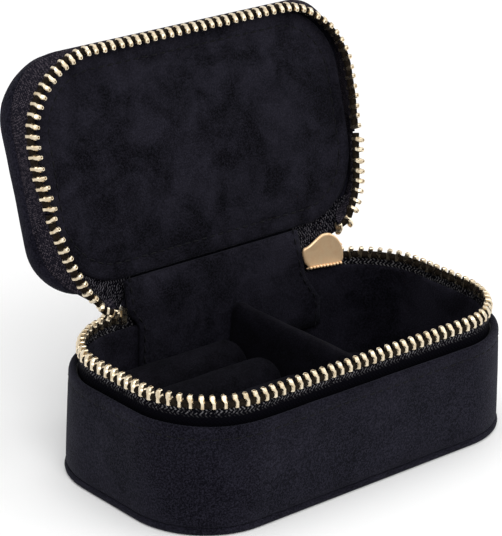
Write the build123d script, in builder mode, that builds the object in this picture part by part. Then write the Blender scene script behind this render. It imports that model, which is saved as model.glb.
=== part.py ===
"""Velvet jewellery case with a zip round its rim, standing open. Millimetres.

Origin: middle of the underside. X runs along the case, -Y is the front, +Y the hinge side, Z is up.
"""
from build123d import *
import math
import os

os.makedirs("parts", exist_ok=True)

# Clearance between pieces that lie against each other
FIT = 0.05

# Base: outer size, and corners that grow wider towards the rim
BASE_LENGTH = 110.0
BASE_DEPTH = 61.0
CORNER_RADIUS_BOTTOM = 18.4
CORNER_RADIUS_RIM = 21.9
RIM_HEIGHT = 34.0

# Base: layers of the wall, from outside to inside
VELVET = 0.95
WALL_BOARD = 1.3
TAPE = 0.7
LINING = 1.0
BAND_TOP = 26.8
BAND_TOP_ROUND = 0.7
LINING_TOP = 28.9
TAPE_BOTTOM = 14.0

# Base: bottom, welt and floor
WELT = 1.8
WELT_PROUD = 0.25
WELT_ROUND = 0.85
BOTTOM_VELVET = 0.8
FLOOR_BOARD = 1.5
FLOOR_PAD = 1.9
FLOOR_PAD_ROUND = 0.8

# Zip: teeth, their pitch, and how far the lower row and tape run in from the back corners
TOOTH_PITCH = 2.55
TOOTH_HEIGHT = 3.9
TOOTH_LEG = 1.2
TOOTH_HEAD = 1.9
TOOTH_NECK_HEIGHT = 2.0
TOOTH_SHOULDER = 0.5
TOOTH_CROWN = 0.45
TOOTH_THICKNESS = 2.2
TAPE_IN_TOOTH = 1.65
TOOTH_FOOT = 30.1
ROW_START_RUN = 1.8
ROW_END_RUN = 5.4
TAPE_START_RUN = 6.4
TAPE_END_RUN = 8.4
STOP_LENGTH = 1.5
STOP_HEIGHT = 2.6
STOP_THICKNESS = 1.2
STOP_GAP = 0.3

# Divider between the two compartments
DIVIDER_X = 4.8
DIVIDER_TOP = 28.3
DIVIDER_FOOT_THICKNESS = 6.5
DIVIDER_TOP_THICKNESS = 4.0
DIVIDER_BOARD = 2.0
DIVIDER_BOARD_DEPTH_BELOW_TOP = 3.0

# Ring rolls in the left compartment
ROLL_COUNT = 4
ROLL_RADIUS = 6.25
ROLL_PITCH = 13.05
ROLL_BED_HEIGHT = 3.5
ROLL_END_ROUND = 3.2
ROLL_END_GAP = 0.6

# Hinge: its line, in from the base's back, and the angle that the lid stands open
HINGE_INSET = 1.5
HINGE_Z = 40.0
OPEN_ANGLE = 105.7

# Lid, described as it lies closed: heights run up from its tooth tips, and the row's
# outline stands behind the base's back by its overhang
LID_TIP_Z = 35.4
LID_SHIFT_X = 1.5
LID_LENGTH = 103.5
LID_ROW_DEPTH = 61.6
LID_ROW_OVERHANG = 0.3
LID_ROW_RADIUS = 19.2
LID_PANEL_INSET = 2.8
LID_PANEL_BACK_INSET = 0.8
LID_PANEL_RADIUS = 19.0
LID_PANEL_BOTTOM = 6.7
LID_PANEL_TOP = 12.0
LID_TOP_ROUND = 2.4
LID_BOTTOM_ROUND = 1.6
LID_BOARD_INSET = 2.0
LID_BOARD = 1.4
LID_VELVET = 1.0
LID_ROW_FOOT = 3.95
LID_ROW_INSET = 2.7
LID_ROW_LEAN = 14.5
LID_ROW_END_RUN = 22.8
LID_LINING_INSET = 3.45
LID_LINING_BACK_INSET = 2.8
LID_LINING_RADIUS = 17.0
LID_LINING_FACE = 4.0
LID_LINING_PAD = 1.35
LID_LINING_ROUND = 0.9
LID_LINING_BOARD_INSET = 0.5

# Hinge cloths: the runs are measured in from the back corners, the insets from the base's back
STRIP_END_RUN = 5.4
STRIP_INSET = 0.2
STRIP_THICKNESS = 1.0
STRIP_TOP = 38.2
FLAP_THICKNESS = 0.8
FLAP_BOTTOM = 14.0
FLAP_LEFT_RUN = 7.6
FLAP_TOP_LEFT_RUN = 4.6
FLAP_RIGHT_RUN = -0.2
FLAP_WAIST_RIGHT_RUN = 5.1
FLAP_TOP_RIGHT_RUN = 6.4
FLAP_TOP_INSET = 2.7
FLAP_TOP_Z = 40.9
FLAP_BEND_Z = 33.0
FLAP_BEND_INSET = 4.55

# Zip ends, where the upper row comes down from the lid to the base: each place is given
# in from the base's side, in from its back, and as a height
END_TAPE_WIDTH = 1.0
END_TAPE_SECTIONS = 7
LEFT_END_POINT = (24.8, 2.9, 37.4)
LEFT_END_BEND = (14.5, 7.9, 47.6)
RIGHT_END_POINT = (12.0, 4.6, 39.4)
RIGHT_END_BEND = (6.0, 4.9, 46.0)
END_DROP = 7.0

# Slider on the back right corner
SLIDER_ANGLE = 6.0
SLIDER_MID_Z = 34.3
SLIDER_LENGTH = 12.8
SLIDER_HEIGHT = 9.8
SLIDER_NOSE_HEIGHT = 8.0
SLIDER_SHOULDER = 1.8
SLIDER_TAPER_START = 1.6
SLIDER_PLATE = 0.9
SLIDER_INNER_FACE = 2.35
SLIDER_OUTER_FACE = 1.3
SLIDER_LIP = 0.55
SLIDER_LIP_LENGTH = 6.0
SLIDER_INNER_LIP = 0.7
SLIDER_OUTER_LIP = 0.8
SLIDER_POST_LENGTH = 2.6
SLIDER_POST_HEIGHT = 1.1
SLIDER_POST_LIFT = 0.4
SLIDER_CORNER = 0.7

# Arch on the slider's outer plate, and the pull tab in it
ARCH_LENGTH = 7.0
ARCH_WIDTH = 2.0
ARCH_HEIGHT = 2.5
ARCH_WALL = 0.8
PULL_LENGTH = 21.5
PULL_WIDTH = 5.5
PULL_THICKNESS = 1.0
PULL_BAR = 1.1
PULL_WINDOW = 3.85
PULL_WINDOW_WIDTH = 3.0
PULL_HOLE_RADIUS = 1.1
PULL_ROUND = 2.0

# Insets of each layer, measured inwards from the base's outer face
board_inset = VELVET + FIT
board_inner = board_inset + WALL_BOARD
tape_inset = board_inner + FIT
tape_inner = tape_inset + TAPE
row_inset = tape_inset + TAPE / 2
lining_inset = tape_inner + FIT
lining_inner = lining_inset + LINING
floor_bottom = BOTTOM_VELVET + FIT
floor_top = floor_bottom + FLOOR_BOARD
wall_bottom = floor_top + FIT
pad_bottom = floor_top + FIT
pad_top = pad_bottom + FLOOR_PAD
inner_inset = lining_inner + FIT
tape_top = TOOTH_FOOT + TAPE_IN_TOOTH
tooth_slot = TAPE + 2 * FIT
row_half_x = BASE_LENGTH / 2 - row_inset
row_half_y = BASE_DEPTH / 2 - row_inset
lid_middle_y = BASE_DEPTH / 2 + LID_ROW_OVERHANG - LID_ROW_DEPTH / 2
lid_row_end_y = LID_ROW_DEPTH / 2 - LID_ROW_END_RUN


def corner_radius(height):
    """Plan radius of the base's corners at a height."""
    return CORNER_RADIUS_BOTTOM + (CORNER_RADIUS_RIM - CORNER_RADIUS_BOTTOM) * height / RIM_HEIGHT


row_radius = corner_radius(TOOTH_FOOT + TAPE_IN_TOOTH / 2) - row_inset
corner_x = row_half_x - row_radius
corner_y = row_half_y - row_radius


def base_section(inset, height):
    """One level of a base layer: the plan outline drawn in by an inset."""
    with BuildSketch(Plane.XY.offset(height)) as section:
        RectangleRounded(BASE_LENGTH - 2 * inset, BASE_DEPTH - 2 * inset, corner_radius(height) - inset)
    return section.sketch


def base_block(inset, bottom, top, mode=Mode.ADD):
    """A block with the base's plan between two heights."""
    loft([base_section(inset, bottom), base_section(inset, top)], ruled=True, mode=mode)


def lid_sheet(height):
    """Plane of the lid at a height above its tooth tips, with the lid standing open."""
    closed = Location((LID_SHIFT_X, lid_middle_y, LID_TIP_Z + height))
    hinge = Location((0, BASE_DEPTH / 2 - HINGE_INSET, HINGE_Z))
    return Plane(hinge * Rotation(-OPEN_ANGLE, 0, 0) * hinge.inverse() * closed)


def lid_row_outline(inset, height):
    """One level of the lid's tape, which leans inwards towards the tooth tips."""
    drawn_in = inset + (LID_ROW_FOOT - height) * math.tan(math.radians(LID_ROW_LEAN))
    with BuildSketch(lid_sheet(height)) as outline:
        RectangleRounded(LID_LENGTH - 2 * drawn_in, LID_ROW_DEPTH - 2 * drawn_in, LID_ROW_RADIUS - drawn_in)
    return outline.sketch


def lid_row_block(inset, bottom, top, mode=Mode.ADD):
    """A block inside the lid's tape line between two heights."""
    loft([lid_row_outline(inset, bottom), lid_row_outline(inset, top)], ruled=True, mode=mode)


def bezier(points, t):
    """Point on a cubic curve through its end points."""
    a, b, c, d = points
    s = 1 - t
    return a * s**3 + b * (3 * s * s * t) + c * (3 * s * t * t) + d * t**3


# Base: bottom velvet, welt, floor board
with BuildPart() as base_bottom_cover:
    base_block(WELT - WELT_PROUD + FIT, 0, BOTTOM_VELVET)
base_bottom_cover.part.label = "base_bottom_cover"
export_step(base_bottom_cover.part, "parts/base_bottom_cover.step")

with BuildPart() as base_piping:
    with BuildSketch():
        RectangleRounded(
            BASE_LENGTH + 2 * WELT_PROUD, BASE_DEPTH + 2 * WELT_PROUD, CORNER_RADIUS_BOTTOM + WELT_PROUD
        )
    extrude(amount=WELT)
    fillet(base_piping.edges().group_by(Axis.Z)[-1], radius=WELT_ROUND)
    fillet(base_piping.edges().group_by(Axis.Z)[0], radius=WELT_ROUND)
    base_block(WELT - WELT_PROUD, 0, WELT, mode=Mode.SUBTRACT)
base_piping.part.label = "base_piping"
export_step(base_piping.part, "parts/base_piping.step")

with BuildPart() as base_floor_board:
    base_block(WELT - WELT_PROUD + FIT, floor_bottom, floor_top)
base_floor_board.part.label = "base_floor_board"
export_step(base_floor_board.part, "parts/base_floor_board.step")

# Base: wall board, and the velvet band folded over its top edge
board_top = BAND_TOP - VELVET - FIT
with BuildPart() as base_wall_board:
    base_block(board_inset, wall_bottom, board_top)
    base_block(board_inner, wall_bottom, board_top, mode=Mode.SUBTRACT)
base_wall_board.part.label = "base_wall_board"
export_step(base_wall_board.part, "parts/base_wall_board.step")

with BuildPart() as base_cover_band:
    base_block(0, WELT + FIT, BAND_TOP - BAND_TOP_ROUND)
    loft([base_section(0, BAND_TOP - BAND_TOP_ROUND), base_section(BAND_TOP_ROUND, BAND_TOP)], ruled=True)
    base_block(VELVET, WELT + FIT, board_top + FIT, mode=Mode.SUBTRACT)
    base_block(board_inner, board_top + FIT, BAND_TOP, mode=Mode.SUBTRACT)
base_cover_band.part.label = "base_cover_band"
export_step(base_cover_band.part, "parts/base_cover_band.step")

# Base: lining and padded floor
with BuildPart() as base_lining:
    base_block(lining_inset, wall_bottom, LINING_TOP)
    base_block(lining_inner, wall_bottom, LINING_TOP, mode=Mode.SUBTRACT)
base_lining.part.label = "base_lining"
export_step(base_lining.part, "parts/base_lining.step")

with BuildPart() as base_floor_pad:
    base_block(inner_inset, pad_bottom, pad_top - FLOOR_PAD_ROUND)
    pad_shoulder = base_section(inner_inset, pad_top - FLOOR_PAD_ROUND)
    pad_crown = base_section(inner_inset + FLOOR_PAD_ROUND, pad_top)
    loft([pad_shoulder, pad_crown], ruled=True)
base_floor_pad.part.label = "base_floor_pad"
export_step(base_floor_pad.part, "parts/base_floor_pad.step")

# Lower tape: between wall board and lining, open across the hinge
tape_start_x = TAPE_START_RUN - corner_x
tape_end_x = corner_x - TAPE_END_RUN
with BuildPart() as base_zip_tape:
    base_block(tape_inset, TAPE_BOTTOM, tape_top)
    base_block(tape_inner, TAPE_BOTTOM, tape_top, mode=Mode.SUBTRACT)
    with BuildSketch(Plane.XY.offset(TAPE_BOTTOM)):
        with Locations(((tape_start_x + tape_end_x) / 2, BASE_DEPTH / 2)):
            Rectangle(tape_end_x - tape_start_x, BASE_DEPTH / 4)
    extrude(amount=tape_top - TAPE_BOTTOM, mode=Mode.SUBTRACT)
base_zip_tape.part.label = "base_zip_tape"
export_step(base_zip_tape.part, "parts/base_zip_tape.step")

# One tooth: a leg that straddles the tape, a neck and a wider head
with BuildPart() as tooth:
    with BuildSketch(Plane.XZ.offset(-TOOTH_THICKNESS / 2)):
        with BuildLine():
            Polyline(
                (TOOTH_LEG / 2, 0),
                (TOOTH_LEG / 2, TOOTH_NECK_HEIGHT),
                (TOOTH_HEAD / 2, TOOTH_NECK_HEIGHT + TOOTH_SHOULDER),
                (TOOTH_HEAD / 2, TOOTH_HEIGHT - TOOTH_CROWN),
                (TOOTH_HEAD / 2 - TOOTH_CROWN, TOOTH_HEIGHT),
                (-TOOTH_HEAD / 2 + TOOTH_CROWN, TOOTH_HEIGHT),
                (-TOOTH_HEAD / 2, TOOTH_HEIGHT - TOOTH_CROWN),
                (-TOOTH_HEAD / 2, TOOTH_NECK_HEIGHT + TOOTH_SHOULDER),
                (-TOOTH_LEG / 2, TOOTH_NECK_HEIGHT),
                (-TOOTH_LEG / 2, 0),
                close=True,
            )
        make_face()
    extrude(amount=TOOTH_THICKNESS)
    with BuildSketch():
        Rectangle(TOOTH_HEAD, tooth_slot)
    extrude(amount=TAPE_IN_TOOTH + FIT, mode=Mode.SUBTRACT)

# Lower row: evenly spaced round the rim from the left end to the slider's corner
row_start_x = ROW_START_RUN - corner_x
row_end_x = corner_x - ROW_END_RUN
with BuildLine() as lower_row:
    FilletPolyline(
        (row_start_x, row_half_y),
        (-row_half_x, row_half_y),
        (-row_half_x, -row_half_y),
        (row_half_x, -row_half_y),
        (row_half_x, row_half_y),
        (row_end_x, row_half_y),
        radius=row_radius,
    )
lower_path = lower_row.wires()[0]
lower_count = int(lower_path.length / TOOTH_PITCH) + 1
lower_places = []
for i in range(lower_count):
    spot = lower_path.position_at(i * TOOTH_PITCH, position_mode=PositionMode.LENGTH)
    along = lower_path.tangent_at(i * TOOTH_PITCH, position_mode=PositionMode.LENGTH)
    lower_places.append(Plane(origin=(spot.X, spot.Y, TOOTH_FOOT), x_dir=along, z_dir=(0, 0, 1)).location)
with BuildPart() as base_zip_teeth:
    with Locations(*lower_places):
        add(tooth.part)
base_zip_teeth.part.label = "base_zip_teeth"
export_step(base_zip_teeth.part, "parts/base_zip_teeth.step")

# Stops: one beside the last tooth at the left end, one behind the slider's nose
top_stop_x = row_start_x + TOOTH_HEAD / 2 + STOP_GAP + STOP_LENGTH / 2
with BuildPart() as zip_top_stop:
    with BuildSketch(Plane.XY.offset(TOOTH_FOOT)):
        with Locations((top_stop_x, row_half_y)):
            Rectangle(STOP_LENGTH, TOOTH_THICKNESS)
            Rectangle(STOP_LENGTH, tooth_slot, mode=Mode.SUBTRACT)
    extrude(amount=TAPE_IN_TOOTH)
    with BuildSketch(Plane.XY.offset(tape_top)):
        with Locations((top_stop_x, row_half_y)):
            Rectangle(STOP_LENGTH, TOOTH_THICKNESS)
    extrude(amount=TOOTH_HEIGHT - TAPE_IN_TOOTH)
zip_top_stop.part.label = "zip_top_stop"
export_step(zip_top_stop.part, "parts/zip_top_stop.step")

with BuildPart() as zip_bottom_stop:
    with BuildSketch(Plane.XY.offset(tape_top + FIT)):
        with Locations((tape_end_x + STOP_LENGTH, row_half_y)):
            Rectangle(STOP_LENGTH, STOP_THICKNESS)
    extrude(amount=STOP_HEIGHT)
zip_bottom_stop.part.label = "zip_bottom_stop"
export_step(zip_bottom_stop.part, "parts/zip_bottom_stop.step")

# Inner flap's face, which the divider and the rolls stop short of
wall_flap_y = BASE_DEPTH / 2 - lining_inner - 3 * FIT - FLAP_THICKNESS

# Divider: a board inside a padded cover, tapering to a round top
divider_front = -BASE_DEPTH / 2 + lining_inner + 2 * FIT
divider_back = wall_flap_y - 2 * FIT
divider_foot = pad_top + FIT
divider_board_top = DIVIDER_TOP - DIVIDER_BOARD_DEPTH_BELOW_TOP
with BuildPart() as divider_board:
    with BuildSketch(Plane.XY.offset(divider_foot)):
        with Locations((DIVIDER_X, (divider_front + divider_back) / 2)):
            Rectangle(DIVIDER_BOARD, divider_back - divider_front)
    extrude(amount=divider_board_top - divider_foot)
divider_board.part.label = "divider_board"
export_step(divider_board.part, "parts/divider_board.step")

with BuildPart() as divider_cover:
    with BuildSketch(Plane.XZ.offset(-divider_back)):
        with BuildLine():
            Polyline(
                (DIVIDER_X - DIVIDER_TOP_THICKNESS / 2, DIVIDER_TOP - DIVIDER_TOP_THICKNESS / 2),
                (DIVIDER_X - DIVIDER_FOOT_THICKNESS / 2, divider_foot),
                (DIVIDER_X + DIVIDER_FOOT_THICKNESS / 2, divider_foot),
                (DIVIDER_X + DIVIDER_TOP_THICKNESS / 2, DIVIDER_TOP - DIVIDER_TOP_THICKNESS / 2),
            )
            ThreePointArc(
                (DIVIDER_X + DIVIDER_TOP_THICKNESS / 2, DIVIDER_TOP - DIVIDER_TOP_THICKNESS / 2),
                (DIVIDER_X, DIVIDER_TOP),
                (DIVIDER_X - DIVIDER_TOP_THICKNESS / 2, DIVIDER_TOP - DIVIDER_TOP_THICKNESS / 2),
            )
        make_face()
    extrude(amount=divider_back - divider_front)
    with BuildSketch(Plane.XY.offset(divider_foot)):
        with Locations((DIVIDER_X, (divider_front + divider_back) / 2)):
            Rectangle(DIVIDER_BOARD + 2 * FIT, divider_back - divider_front)
    extrude(amount=divider_board_top + FIT - divider_foot, mode=Mode.SUBTRACT)
divider_cover.part.label = "divider_cover"
export_step(divider_cover.part, "parts/divider_cover.step")

# Left compartment: a foam bed, and four rolls that hold rings between them
roll_left = -BASE_LENGTH / 2 + lining_inner + 2 * FIT
roll_right = DIVIDER_X - DIVIDER_FOOT_THICKNESS / 2 - ROLL_END_GAP
bed_top = pad_top + FIT + ROLL_BED_HEIGHT
roll_middle_z = bed_top + FIT + ROLL_RADIUS
last_roll_y = wall_flap_y - 3 * FIT - ROLL_RADIUS
bed_inset = BASE_DEPTH / 2 - wall_flap_y + 3 * FIT
with BuildPart() as ring_cushion_bed:
    base_block(bed_inset, pad_top + FIT, bed_top)
    with BuildSketch(Plane.XY.offset(pad_top + FIT)):
        with Locations((roll_right, 0)):
            Rectangle(BASE_LENGTH, BASE_DEPTH, align=(Align.MIN, Align.CENTER))
    extrude(amount=ROLL_BED_HEIGHT, mode=Mode.SUBTRACT)
ring_cushion_bed.part.label = "ring_cushion_bed"
export_step(ring_cushion_bed.part, "parts/ring_cushion_bed.step")

for i in range(ROLL_COUNT):
    roll_name = f"ring_roll_{i + 1}"
    with BuildPart() as ring_roll:
        with BuildSketch(Plane.YZ.offset(roll_left)):
            with Locations((last_roll_y - i * ROLL_PITCH, roll_middle_z)):
                Circle(ROLL_RADIUS)
        extrude(amount=roll_right - roll_left)
        fillet(ring_roll.edges().filter_by(GeomType.CIRCLE), radius=ROLL_END_ROUND)
        base_block(inner_inset + FIT, pad_top, LINING_TOP, mode=Mode.INTERSECT)
    ring_roll.part.label = roll_name
    export_step(ring_roll.part, f"parts/{roll_name}.step")

# Outer hinge strip: the velvet spine between the base's band and the lid
with BuildPart() as hinge_strip:
    with BuildSketch(Plane.XY.offset(BAND_TOP + 2 * FIT)):
        with Locations((0, BASE_DEPTH / 2 - STRIP_INSET - STRIP_THICKNESS / 2)):
            Rectangle(2 * (corner_x - STRIP_END_RUN), STRIP_THICKNESS)
    extrude(amount=STRIP_TOP - BAND_TOP - 2 * FIT)
hinge_strip.part.label = "hinge_strip"
export_step(hinge_strip.part, "parts/hinge_strip.step")

# Inner hinge flap: down the back wall, and leaning back up to the lid's lining
flap_left = FLAP_LEFT_RUN - corner_x
flap_top_left = FLAP_TOP_LEFT_RUN - corner_x
flap_right = corner_x - FLAP_RIGHT_RUN
flap_waist_right = corner_x - FLAP_WAIST_RIGHT_RUN
flap_top_right = corner_x - FLAP_TOP_RIGHT_RUN
flap_top_y = BASE_DEPTH / 2 - FLAP_TOP_INSET
flap_bend_y = BASE_DEPTH / 2 - FLAP_BEND_INSET
with BuildPart() as hinge_flap:
    with BuildSketch(Plane.YZ.offset(flap_top_left)):
        with BuildLine():
            Polyline(
                (wall_flap_y, FLAP_BOTTOM),
                (wall_flap_y, LINING_TOP),
                (flap_bend_y, FLAP_BEND_Z),
                (flap_top_y, FLAP_TOP_Z),
                (flap_top_y + FLAP_THICKNESS, FLAP_TOP_Z),
                (flap_bend_y + FLAP_THICKNESS, FLAP_BEND_Z),
                (wall_flap_y + FLAP_THICKNESS, LINING_TOP),
                (wall_flap_y + FLAP_THICKNESS, FLAP_BOTTOM),
                close=True,
            )
        make_face()
    extrude(amount=flap_right - flap_top_left)
    with BuildSketch(Plane.XZ.offset(-BASE_DEPTH)):
        with BuildLine():
            Polyline(
                (flap_top_left, FLAP_TOP_Z),
                (flap_top_left, FLAP_BEND_Z),
                (flap_left, LINING_TOP),
                (flap_left, FLAP_BOTTOM),
                (flap_right, FLAP_BOTTOM),
                (flap_right, (FLAP_BOTTOM + LINING_TOP) / 2),
                (flap_waist_right, LINING_TOP),
                (flap_top_right, FLAP_TOP_Z),
                close=True,
            )
        make_face()
    extrude(amount=BASE_DEPTH, mode=Mode.INTERSECT)
hinge_flap.part.label = "hinge_flap"
export_step(hinge_flap.part, "parts/hinge_flap.step")

# Lid: velvet cover over foam and board
panel_depth = LID_ROW_DEPTH - LID_PANEL_INSET - LID_PANEL_BACK_INSET
panel_shift_y = (LID_PANEL_INSET - LID_PANEL_BACK_INSET) / 2
with BuildPart() as lid_cover:
    with BuildSketch(lid_sheet(LID_PANEL_BOTTOM)):
        with Locations((0, panel_shift_y)):
            RectangleRounded(LID_LENGTH, panel_depth, LID_PANEL_RADIUS)
    extrude(amount=LID_PANEL_TOP - LID_PANEL_BOTTOM)
    lid_up = Axis((0, 0, 0), lid_sheet(0).z_dir)
    fillet(lid_cover.edges().group_by(lid_up)[-1], radius=LID_TOP_ROUND)
    fillet(lid_cover.edges().group_by(lid_up)[0], radius=LID_BOTTOM_ROUND)
    with BuildSketch(lid_sheet(LID_PANEL_BOTTOM)):
        with Locations((0, panel_shift_y)):
            RectangleRounded(
                LID_LENGTH - 2 * LID_BOARD_INSET,
                panel_depth - 2 * LID_BOARD_INSET,
                LID_PANEL_RADIUS - LID_BOARD_INSET,
            )
    extrude(amount=LID_PANEL_TOP - LID_VELVET - LID_PANEL_BOTTOM, mode=Mode.SUBTRACT)
lid_cover.part.label = "lid_cover"
export_step(lid_cover.part, "parts/lid_cover.step")

board_clear = LID_BOARD_INSET + FIT
with BuildPart() as lid_board:
    with BuildSketch(lid_sheet(LID_PANEL_BOTTOM + FIT)):
        with Locations((0, panel_shift_y)):
            RectangleRounded(
                LID_LENGTH - 2 * board_clear, panel_depth - 2 * board_clear, LID_PANEL_RADIUS - board_clear
            )
    extrude(amount=LID_BOARD)
lid_board.part.label = "lid_board"
export_step(lid_board.part, "parts/lid_board.step")

padding_bottom = LID_PANEL_BOTTOM + LID_BOARD + 2 * FIT
with BuildPart() as lid_padding:
    with BuildSketch(lid_sheet(padding_bottom)):
        with Locations((0, panel_shift_y)):
            RectangleRounded(
                LID_LENGTH - 2 * board_clear, panel_depth - 2 * board_clear, LID_PANEL_RADIUS - board_clear
            )
    extrude(amount=LID_PANEL_TOP - LID_VELVET - FIT - padding_bottom)
lid_padding.part.label = "lid_padding"
export_step(lid_padding.part, "parts/lid_padding.step")

# Lid: lining board, and the padded lining panel on it
lining_length = LID_LENGTH - 2 * LID_LINING_INSET
lining_depth = LID_ROW_DEPTH - LID_LINING_INSET - LID_LINING_BACK_INSET
lining_shift_y = (LID_LINING_INSET - LID_LINING_BACK_INSET) / 2
lining_board_bottom = LID_LINING_FACE + LID_LINING_PAD + FIT
with BuildPart() as lid_lining_board:
    with BuildSketch(lid_sheet(lining_board_bottom)):
        with Locations((0, lining_shift_y)):
            RectangleRounded(
                lining_length - 2 * LID_LINING_BOARD_INSET,
                lining_depth - 2 * LID_LINING_BOARD_INSET,
                LID_LINING_RADIUS - LID_LINING_BOARD_INSET,
            )
    extrude(amount=LID_PANEL_BOTTOM - FIT - lining_board_bottom)
lid_lining_board.part.label = "lid_lining_board"
export_step(lid_lining_board.part, "parts/lid_lining_board.step")

with BuildPart() as lid_lining_panel:
    with BuildSketch(lid_sheet(LID_LINING_FACE)):
        with Locations((0, lining_shift_y)):
            RectangleRounded(lining_length, lining_depth, LID_LINING_RADIUS)
    extrude(amount=LID_LINING_PAD)
    fillet(lid_lining_panel.edges().group_by(lid_up)[0], radius=LID_LINING_ROUND)
lid_lining_panel.part.label = "lid_lining_panel"
export_step(lid_lining_panel.part, "parts/lid_lining_panel.step")

# Upper tape: leaning inwards under the lid's panel, open towards the hinge
lid_tape_top = LID_PANEL_BOTTOM - FIT
lean = math.radians(LID_ROW_LEAN)
lid_tape_bottom = LID_ROW_FOOT - TAPE_IN_TOOTH * math.cos(lean) + TAPE / 2 * math.sin(lean)
with BuildPart() as lid_zip_tape:
    lid_row_block(LID_ROW_INSET - TAPE / 2, lid_tape_bottom, lid_tape_top)
    lid_row_block(LID_ROW_INSET + TAPE / 2, lid_tape_bottom, lid_tape_top, mode=Mode.SUBTRACT)
    with BuildSketch(lid_sheet(lid_tape_bottom)):
        with Locations((0, lid_row_end_y)):
            Rectangle(LID_LENGTH, LID_ROW_DEPTH, align=(Align.CENTER, Align.MIN))
    extrude(amount=lid_tape_top - lid_tape_bottom, mode=Mode.SUBTRACT)
lid_zip_tape.part.label = "lid_zip_tape"
export_step(lid_zip_tape.part, "parts/lid_zip_tape.step")

# Upper row: the same teeth along the lid's tape, tips towards the base
lid_half_x = LID_LENGTH / 2 - LID_ROW_INSET
lid_half_y = LID_ROW_DEPTH / 2 - LID_ROW_INSET
with BuildLine() as upper_row:
    FilletPolyline(
        (-lid_half_x, lid_row_end_y),
        (-lid_half_x, -lid_half_y),
        (lid_half_x, -lid_half_y),
        (lid_half_x, lid_row_end_y),
        radius=LID_ROW_RADIUS - LID_ROW_INSET,
    )
upper_path = upper_row.wires()[0]
upper_count = int(upper_path.length / TOOTH_PITCH)
upper_margin = (upper_path.length - (upper_count - 1) * TOOTH_PITCH) / 2
lid_feet = lid_sheet(LID_ROW_FOOT)
upper_places = []
for i in range(upper_count):
    at = upper_margin + i * TOOTH_PITCH
    spot = upper_path.position_at(at, position_mode=PositionMode.LENGTH)
    along = upper_path.tangent_at(at, position_mode=PositionMode.LENGTH)
    inward = Vector(0, 0, 1).cross(along)
    to_tip = inward * math.sin(lean) - Vector(0, 0, 1) * math.cos(lean)
    foot_plane = Plane(origin=spot, x_dir=along, z_dir=to_tip)
    upper_places.append(lid_feet.location * foot_plane.location)
with BuildPart() as lid_zip_teeth:
    with Locations(*upper_places):
        add(tooth.part)
lid_zip_teeth.part.label = "lid_zip_teeth"
export_step(lid_zip_teeth.part, "parts/lid_zip_teeth.step")

# Zip ends: the upper row leaves the lid's side and comes down to the base on a curve
lid_down = lid_feet.y_dir
for side, end_point, end_bend in (
    ("left", LEFT_END_POINT, LEFT_END_BEND),
    ("right", RIGHT_END_POINT, RIGHT_END_BEND),
):
    sign = -1 if side == "left" else 1
    start = lid_feet.from_local_coords(Vector(sign * lid_half_x, lid_row_end_y, 0))
    last_points = [
        Vector(sign * (BASE_LENGTH / 2 - in_from_side), BASE_DEPTH / 2 - in_from_back, height)
        for in_from_side, in_from_back, height in (end_bend, end_point)
    ]
    curve = (start, start + lid_down * END_DROP, *last_points)
    tip_at_lid = lid_feet.x_dir * (-sign * math.sin(lean)) - lid_feet.z_dir * math.cos(lean)
    last_run = (curve[3] - curve[2]).normalized()
    tip_at_base = last_run.cross(Vector(0, sign, 0)).normalized()
    run_length = sum(
        (bezier(curve, (k + 1) / 50) - bezier(curve, k / 50)).length for k in range(50)
    )
    end_count = int(run_length / TOOTH_PITCH)
    end_places = []
    for i in range(end_count):
        t = (i + 1) / (end_count + 0.5)
        spot = bezier(curve, t)
        along = (bezier(curve, t + 0.01) - bezier(curve, t - 0.01)).normalized()
        turn = t * t * (3 - 2 * t)
        to_tip = tip_at_lid * (1 - turn) + tip_at_base * turn
        to_tip = (to_tip - along * to_tip.dot(along)).normalized()
        end_places.append(Plane(origin=spot, x_dir=along, z_dir=to_tip).location)
    with BuildPart() as zip_end_teeth:
        with Locations(*end_places):
            add(tooth.part)
    zip_end_teeth.part.label = f"zip_end_teeth_{side}"
    export_step(zip_end_teeth.part, f"parts/zip_end_teeth_{side}.step")

    with BuildPart() as zip_end_tape:
        for k in range(END_TAPE_SECTIONS):
            t = (k + 0.25) / (END_TAPE_SECTIONS - 0.5)
            spot = bezier(curve, t)
            along = (bezier(curve, t + 0.01) - bezier(curve, t - 0.01)).normalized()
            turn = t * t * (3 - 2 * t)
            to_tip = tip_at_lid * (1 - turn) + tip_at_base * turn
            to_tip = (to_tip - along * to_tip.dot(along)).normalized()
            middle = spot - to_tip * (END_TAPE_WIDTH / 2 + 2 * FIT)
            with BuildSketch(Plane(origin=middle, x_dir=to_tip, z_dir=along)):
                Rectangle(END_TAPE_WIDTH, TAPE)
        loft(ruled=True)
    zip_end_tape.part.label = f"zip_end_tape_{side}"
    export_step(zip_end_tape.part, f"parts/zip_end_tape_{side}.step")

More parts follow.
